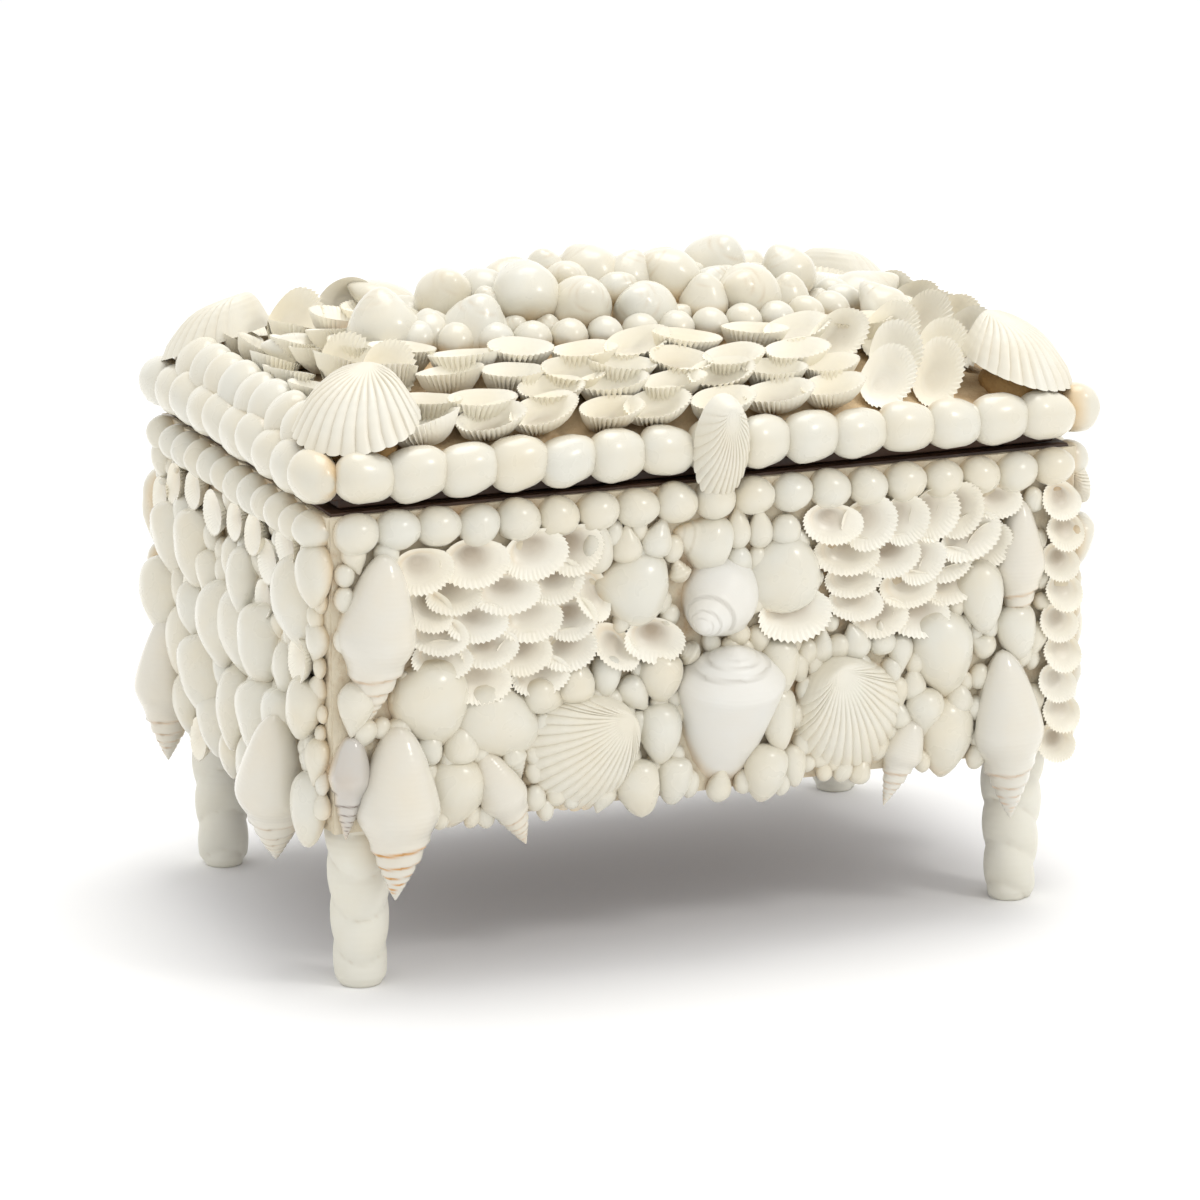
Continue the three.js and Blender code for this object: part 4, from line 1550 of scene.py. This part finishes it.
    def scatter(self, cups: Cluster, pebbles: Cluster) -> None:
        """Fills what room is left, from large shells to small.

        Args:
            cups: the piece that takes the valves.
            pebbles: the piece that takes the rest.
        """
        dice = pebbles.dice
        for kind, least, most, tries in FRONT_FILL if self.wall is Wall.FRONT else SIDE_FILL:
            for _ in range(tries):
                width = dice.uniform(least, most)
                across = dice.uniform(-self.wall.half + self.margin, self.wall.half - self.margin)
                height = dice.uniform(FLOOR_Z + self.foot, RIM_Z - self.head)
                if not self.free(across, height, width / 2, 0.16 if width > 9 else 0.30):
                    continue
                longer = width * dice.uniform(1.0, 1.35) if kind is not Kind.CUP else width * 0.68
                spin = dice.uniform(-25, 25) + (180 if kind is not Kind.CUP and dice.random() < 0.8 else 0)
                self.lay(Spot(kind, across, height, width, longer, spin), cups, pebbles)

    def build(self) -> None:
        """Builds the wall's shells."""
        self.heroes()
        cups = Cluster(f"{self.wall.side}_ark_valves")
        pebbles = Cluster(f"{self.wall.side}_small_shells")
        for spot in self.listed():
            self.lay(spot, cups, pebbles)
        self.scatter(cups, pebbles)
        cups.finish(self.finishes.ark)
        pebbles.finish(self.finishes.polished)


@dataclass
class LidShells:
    """The valves, cockles and crown of shells on top of the lid.

    Attributes:
        kinds, finishes, carcass: the shells, the finishes and the box that they are set on.
        rows: how far up the slope the rows of valves lie.
        pitch: distance from valve to valve in a row.
        corner, corner_room: how far in the cockles' middles lie, and how near them no valve is set.
        row_end: half-length of the lowest row along the front and the back.
        upright, upright_facing: the least X and the greatest Y of the valves that stand on edge at
            the front's right end, and where they face; the top row lies flat there too.
        cockle, cockle_rise, cockle_lean: size of a corner cockle, its height over the lid's board and
            its lean outwards in degrees.
        glue, glue_sink: the lump under it, and how far that lies in below it.
        clasp, clasp_out: size of the clasp cockle, and how far its middle stands off the wall.
        turbans: the filling of the crown: least and greatest size, how many tries, and how near each
            other they may be as a share of their radii.
        crown_reach: how far past the crown's foot they may stand.
        cups_facing: where the larger cups at the lid's left end face.
    """

    kinds: Kinds
    finishes: Finishes
    carcass: Carcass
    rows: tuple[float, ...] = (0.10, 0.32, 0.54, 0.77)
    pitch: float = 20.5
    corner: tuple[float, float] = (14.0, 13.0)
    corner_room: float = 14.5
    row_end: float = 117.0
    upright: tuple[float, float] = (56.0, 8.0)
    upright_facing: Size = (-0.5, -0.6, 0.65)
    cockle: Size = (42.0, 39.0, 13.0)
    cockle_rise: float = 11.5
    cockle_lean: float = 20.0
    glue: Size = (27.0, 26.0, 15.0)
    glue_sink: float = 8.0
    clasp: Size = (20.0, 36.0, 9.0)
    clasp_out: float = 8.0
    turbans: tuple[tuple[float, float, int, float], ...] = (
        (21, 25, 700, 0.74), (16, 19, 1500, 0.70), (11, 14, 2500, 0.66))
    crown_reach: float = 1.02
    cups_facing: Size = (-0.35, -0.72, 0.6)

    def ground_at(self, angle: float, t: float) -> Matrix:
        """The slope's frame: X along the row, Y towards the crown, Z out of the plaster.

        Args:
            angle: heading of the place.
            t: how far up the slope it lies.

        Returns:
            The frame, in millimetres.
        """
        slope = self.carcass.slope
        along = (slope(angle + 0.01, t) - slope(angle - 0.01, t)).normalized()
        inward = slope(angle, t + 0.02) - slope(angle, t - 0.02 if t > 0.02 else 0.0)
        out = along.cross(inward).normalized()
        basis = Matrix((along, out.cross(along), out)).transposed().to_4x4()
        return Matrix.Translation(slope(angle, t)) @ basis

    @staticmethod
    def facing(place: Vector, towards: Size) -> Matrix:
        """A frame with X upwards.

        Args:
            place: where it is.
            towards: where its Z points.

        Returns:
            The frame, in millimetres.
        """
        out = Vector(towards).normalized()
        up = (Vector((0, 0, 1)) - out * out.z).normalized()
        return Matrix.Translation(place) @ Matrix((up, out.cross(up), out)).transposed().to_4x4()

    def lay_cup(self, cluster: Cluster, ground: Matrix, upright: bool) -> None:
        """Sets one valve on the slope, hollow side up.

        Args:
            cluster: the piece that takes it.
            ground: the slope's frame under it.
            upright: stand it on edge instead.
        """
        jig = cluster.dice.uniform
        if upright:
            raised = ground.translation + Vector((0, 0, jig(9.5, 11.5)))
            place = set_down(self.facing(raised, self.upright_facing), (jig(22, 25), jig(17, 20), 8.5),
                             spin=jig(-40, 12), roll=jig(-8, 8), cup=True)
            cluster.add(cluster.dice.choice(self.kinds.arks), place, depth=jig(0.1, 0.35))
            return
        end = min(1.0, abs(ground.translation.x) / 112) ** 3
        place = set_down(ground, (jig(21, 25), jig(14.5, 17), 9.0), out=jig(9.6, 10.8), spin=jig(-17, 17),
                         lean=-8 - 30 * end + jig(-8, 8), roll=jig(-12, 6), cup=True)
        cluster.add(cluster.dice.choice(self.kinds.arks), place, ground, sink=3, depth=jig(0.15, 0.5))

    def cup_row(self, cluster: Cluster, index: int, t: float) -> None:
        """One row of valves round the lid, left open at its corners.

        Args:
            cluster: the piece that takes them.
            index: number of the row, from the lowest.
            t: how far up the slope it lies.
        """
        x, y = HALF_W - self.corner[0], HALF_D - self.corner[1]
        corners = [Vector((sx * x, sy * y, 0)) for sx in (-1, 1) for sy in (-1, 1)]
        angles = np.linspace(0, TAU, 1441)
        steps = paced([self.carcass.slope(angle, t) for angle in angles])
        count = round(steps[-1] / self.pitch)
        jig = cluster.dice.uniform
        sway = 0.035 if index else 0.02
        for i in range(count):
            along = steps[-1] * ((i + 0.5 * (index % 2) + jig(-0.14, 0.14)) / count % 1.0)
            ground = self.ground_at(float(np.interp(along, steps, angles)), t + jig(-sway, sway))
            flat = ground.translation * Vector((1, 1, 0))
            at_corner = min((flat - corner).length for corner in corners) < self.corner_room
            if at_corner or (index == 0 and abs(flat.x) > self.row_end):
                continue
            at_end = flat.x > self.upright[0] and flat.y < self.upright[1]
            self.lay_cup(cluster, ground, at_end and index < len(self.rows) - 1)

    def cups(self) -> None:
        """Rows of ark valves."""
        cluster = Cluster("lid_ark_valves")
        for index, t in enumerate(self.rows):
            self.cup_row(cluster, index, t)
        cluster.finish(self.finishes.ark)

    def cockles(self) -> None:
        """The four corner cockles with the glue under them, and the clasp."""
        glue = Cluster("cockle_glue")
        for end, y in (("front", -1), ("back", 1)):
            for side, x in (("left", -1), ("right", 1)):
                node = f"lid_cockle_{end}_{side}"
                middle = middle_mm(node)
                heading = math.degrees(math.atan2(y, x)) + 90
                ground = Matrix.Translation((middle.x, middle.y, LID_TOP_Z + self.cockle_rise))
                cluster = Cluster(f"{node}_fine")
                place = set_down(ground, self.cockle, 0.0, heading, self.cockle_lean)
                cluster.add(self.kinds.cockle, place, tone=0.25)
                cluster.finish(self.finishes.cockle, replaces=[node])
                place = set_down(ground, self.glue, -self.glue_sink, heading, self.cockle_lean)
                glue.add(self.kinds.beads[0], place)
        glue.finish(self.finishes.glue)
        middle = middle_mm("lid_clasp_cockle")
        ground = Wall.FRONT.frame(middle.x, middle.z)
        cluster = Cluster("clasp_cockle")
        cluster.add(self.kinds.cockle, set_down(ground, self.clasp, self.clasp_out, lean=4), tone=0.2)
        cluster.finish(self.finishes.cockle, replaces=["lid_clasp_cockle"])

    def crown(self) -> None:
        """The mound of turban shells, the frame's own first and smaller ones round them."""
        taken: list[tuple[float, float, float]] = []
        for i in range(1, 8):
            node = f"crown_moon_shell_{i}"
            low, high = box_mm(node)
            middle = (low + high) / 2
            size = high.x - low.x
            cluster = Cluster(f"{node}_fine")
            ground = Matrix.Translation((middle.x, middle.y, low.z))
            place = set_down(ground, (size, size * 1.05, size), (high.z - low.z) * 0.45,
                             cluster.dice.uniform(0, 360), cluster.dice.uniform(25, 62))
            cluster.add(self.kinds.turbans[i % 3], place, ground)
            cluster.finish(self.finishes.polished, replaces=[node])
            taken.append((middle.x, middle.y, size / 2))
        cluster = Cluster("crown_turban_shells")
        for least, most, tries, lap in self.turbans:
            for _ in range(tries):
                self.try_turban(cluster, cluster.dice.uniform(least, most), lap, taken)
        cluster.finish(self.finishes.polished)

    def try_turban(self, cluster: Cluster, size: float, lap: float,
                   taken: list[tuple[float, float, float]]) -> None:
        """Sets a turban shell somewhere on the crown, if there is room.

        Args:
            cluster: the piece that takes it.
            size: its width.
            lap: how near its neighbours it may be, as a share of the radii.
            taken: middle and radius of each shell set so far, to which it is added.
        """
        jig = cluster.dice.uniform
        wide, deep = self.carcass.crown_half
        x = jig(-wide, wide) * self.crown_reach
        y = jig(-deep, deep) * self.crown_reach
        power = self.carcass.roundness
        spread = (abs(x / wide) ** power + abs(y / deep) ** power) ** (1 / power)
        near = any(math.hypot(x - a, y - b) < (size / 2 + r) * lap for a, b, r in taken)
        if spread > self.crown_reach or near:
            return
        taken.append((x, y, size / 2))
        ground = Matrix.Translation((x, y, self.carcass.crown_height(min(1.0, spread))))
        outwards = math.degrees(math.atan2(y / deep, x / wide)) - 90
        place = set_down(ground, (size, size * 1.1, size), size * 0.30, outwards + jig(-80, 80), jig(25, 80))
        cluster.add(cluster.dice.choice(self.kinds.turbans), place, ground)

    def extras(self) -> None:
        """Larger shells at the two ends of the lid."""
        kinds = self.kinds
        shells = Cluster("lid_end_shells")
        for form, place, size, spin, lean in (
                (kinds.turbans[0], (-86, -8, 205), (25, 27, 25), 20, 78),
                (kinds.turbans[1], (-72, -14, 203), (15, 17, 15), 0, 60),
                (kinds.bubbles[1], (-66, 46, 203), (20, 24, 12), 60, 20),
                (kinds.bubbles[0], (-106, 20, 193), (20, 24, 12), 80, 10),
                (kinds.moon, (98, 4, 200), (24, 26, 20), -90, 24),
                (kinds.moon, (88, -26, 203), (19, 20, 16), 30, 40)):
            shells.add(form, set_down(Matrix.Translation(place), size, 0.0, spin, lean), tone=0.3)
        shells.finish(self.finishes.polished)
        cups = Cluster("lid_end_cups")
        for form, place, size, spin in (
                (kinds.cockle, (-80, 42, 199), (24, 29, 9), -90),
                (kinds.arks[1], (-100, 40, 199), (25, 18, 9), -20),
                (kinds.arks[2], (-104, -24, 196), (26, 19, 9), 15),
                (kinds.arks[0], (-98, -44, 197), (25, 18, 9), -10)):
            ground = self.facing(Vector(place), self.cups_facing)
            cups.add(form, set_down(ground, size, spin=spin, cup=True), tone=0.6, depth=0.2)
        cups.finish(self.finishes.ark)

    def build(self) -> None:
        """Builds the lid's shells."""
        self.cups()
        self.cockles()
        self.crown()
        self.extras()


@dataclass
class Studio:
    """The floor, the lights and the camera.

    Attributes:
        camera_at: place of the camera, in metres.
        azimuth, elevation: where it stands as seen from the box, in degrees.
        lens, sensor: focal length and width of the sensor, in millimetres.
        aim: height of the point that the lamps face, in metres.
        white: tint of the floor.
    """

    camera_at: Size = (-0.64859, -1.53940, 0.53423)
    azimuth: float = -22.70
    elevation: float = 14.55
    lens: float = 150.0
    sensor: float = 36.0
    aim: float = 0.11
    white: Colour = (0.93, 0.93, 0.93)

    def floor(self) -> None:
        """A plain pale floor."""
        surface = Surface("studio_white")
        surface.feed(surface.tree.nodes["Principled BSDF"], {
            "Base Color": self.white, "Roughness": 0.9, "Specular IOR Level": 0.1})
        bm = bmesh.new()
        bmesh.ops.create_grid(bm, x_segments=1, y_segments=1, size=12.0)
        mesh = as_mesh("studio_floor", bm)
        mesh.materials.append(surface.material)
        as_object("studio_floor", mesh)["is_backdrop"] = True

    def lamp(self, name: str, place: Size, power: float, size: float, colour: Colour) -> None:
        """A square soft light aimed at the box.

        Args:
            name: the lamp's name.
            place: where it hangs, in metres.
            power: its power in watts.
            size: its width in metres.
            colour: its colour.
        """
        light = bpy.data.lights.new(name, "AREA")
        light.energy = power
        light.size = size
        light.color = colour
        lamp = as_object(name, light)
        lamp.location = place
        to_box = Vector((0, 0, self.aim)) - Vector(place)
        lamp.rotation_euler = to_box.to_track_quat("-Z", "Y").to_euler()

    def lights(self) -> None:
        """A white room with a soft key from the right and a broad light from above."""
        scene = bpy.context.scene
        scene.world = bpy.data.worlds.new("white_room")
        scene.world.use_nodes = True
        background = scene.world.node_tree.nodes["Background"].inputs
        background["Color"].default_value = (1.0, 1.0, 1.0, 1.0)
        background["Strength"].default_value = 1.0
        self.lamp("key", (0.9, -1.2, 1.3), 6.0, 0.35, (1.0, 0.98, 0.95))
        self.lamp("top", (0.2, 0.3, 1.9), 15.0, 1.2, (1.0, 0.99, 0.97))
        scene.view_settings.view_transform = "Standard"
        scene.view_settings.look = "None"
        scene.view_settings.exposure = 0.0

    def camera(self) -> None:
        """The camera, a long lens from the front left, a little above."""
        data = bpy.data.cameras.new("camera")
        data.lens = self.lens
        data.sensor_width = self.sensor
        data.clip_end = 20.0
        camera = as_object("camera", data)
        camera.location = self.camera_at
        a, e = math.radians(self.azimuth), math.radians(self.elevation)
        back = Vector((math.sin(a) * math.cos(e), -math.cos(a) * math.cos(e), math.sin(e)))
        camera.rotation_euler = back.to_track_quat("Z", "Y").to_euler()
        bpy.context.scene.camera = camera

    def build(self) -> None:
        """Builds the studio."""
        self.floor()
        self.lights()
        self.camera()


def main() -> None:
    """Builds the box, piece by piece, and its studio."""
    finishes = Finishes()
    kinds = Kinds()
    carcass = Carcass(finishes)
    carcass.build()
    Legs(finishes).build()
    BeadRows(kinds, finishes, carcass).build()
    for wall in Wall:
        WallShells(wall, kinds, finishes).build()
    LidShells(kinds, finishes, carcass).build()
    Studio().build()
    faces = sum(len(piece.data.polygons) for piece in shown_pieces() if piece.type == "MESH")
    log.info("all pieces: %d faces", faces)


if __name__ == "__main__":
    main()
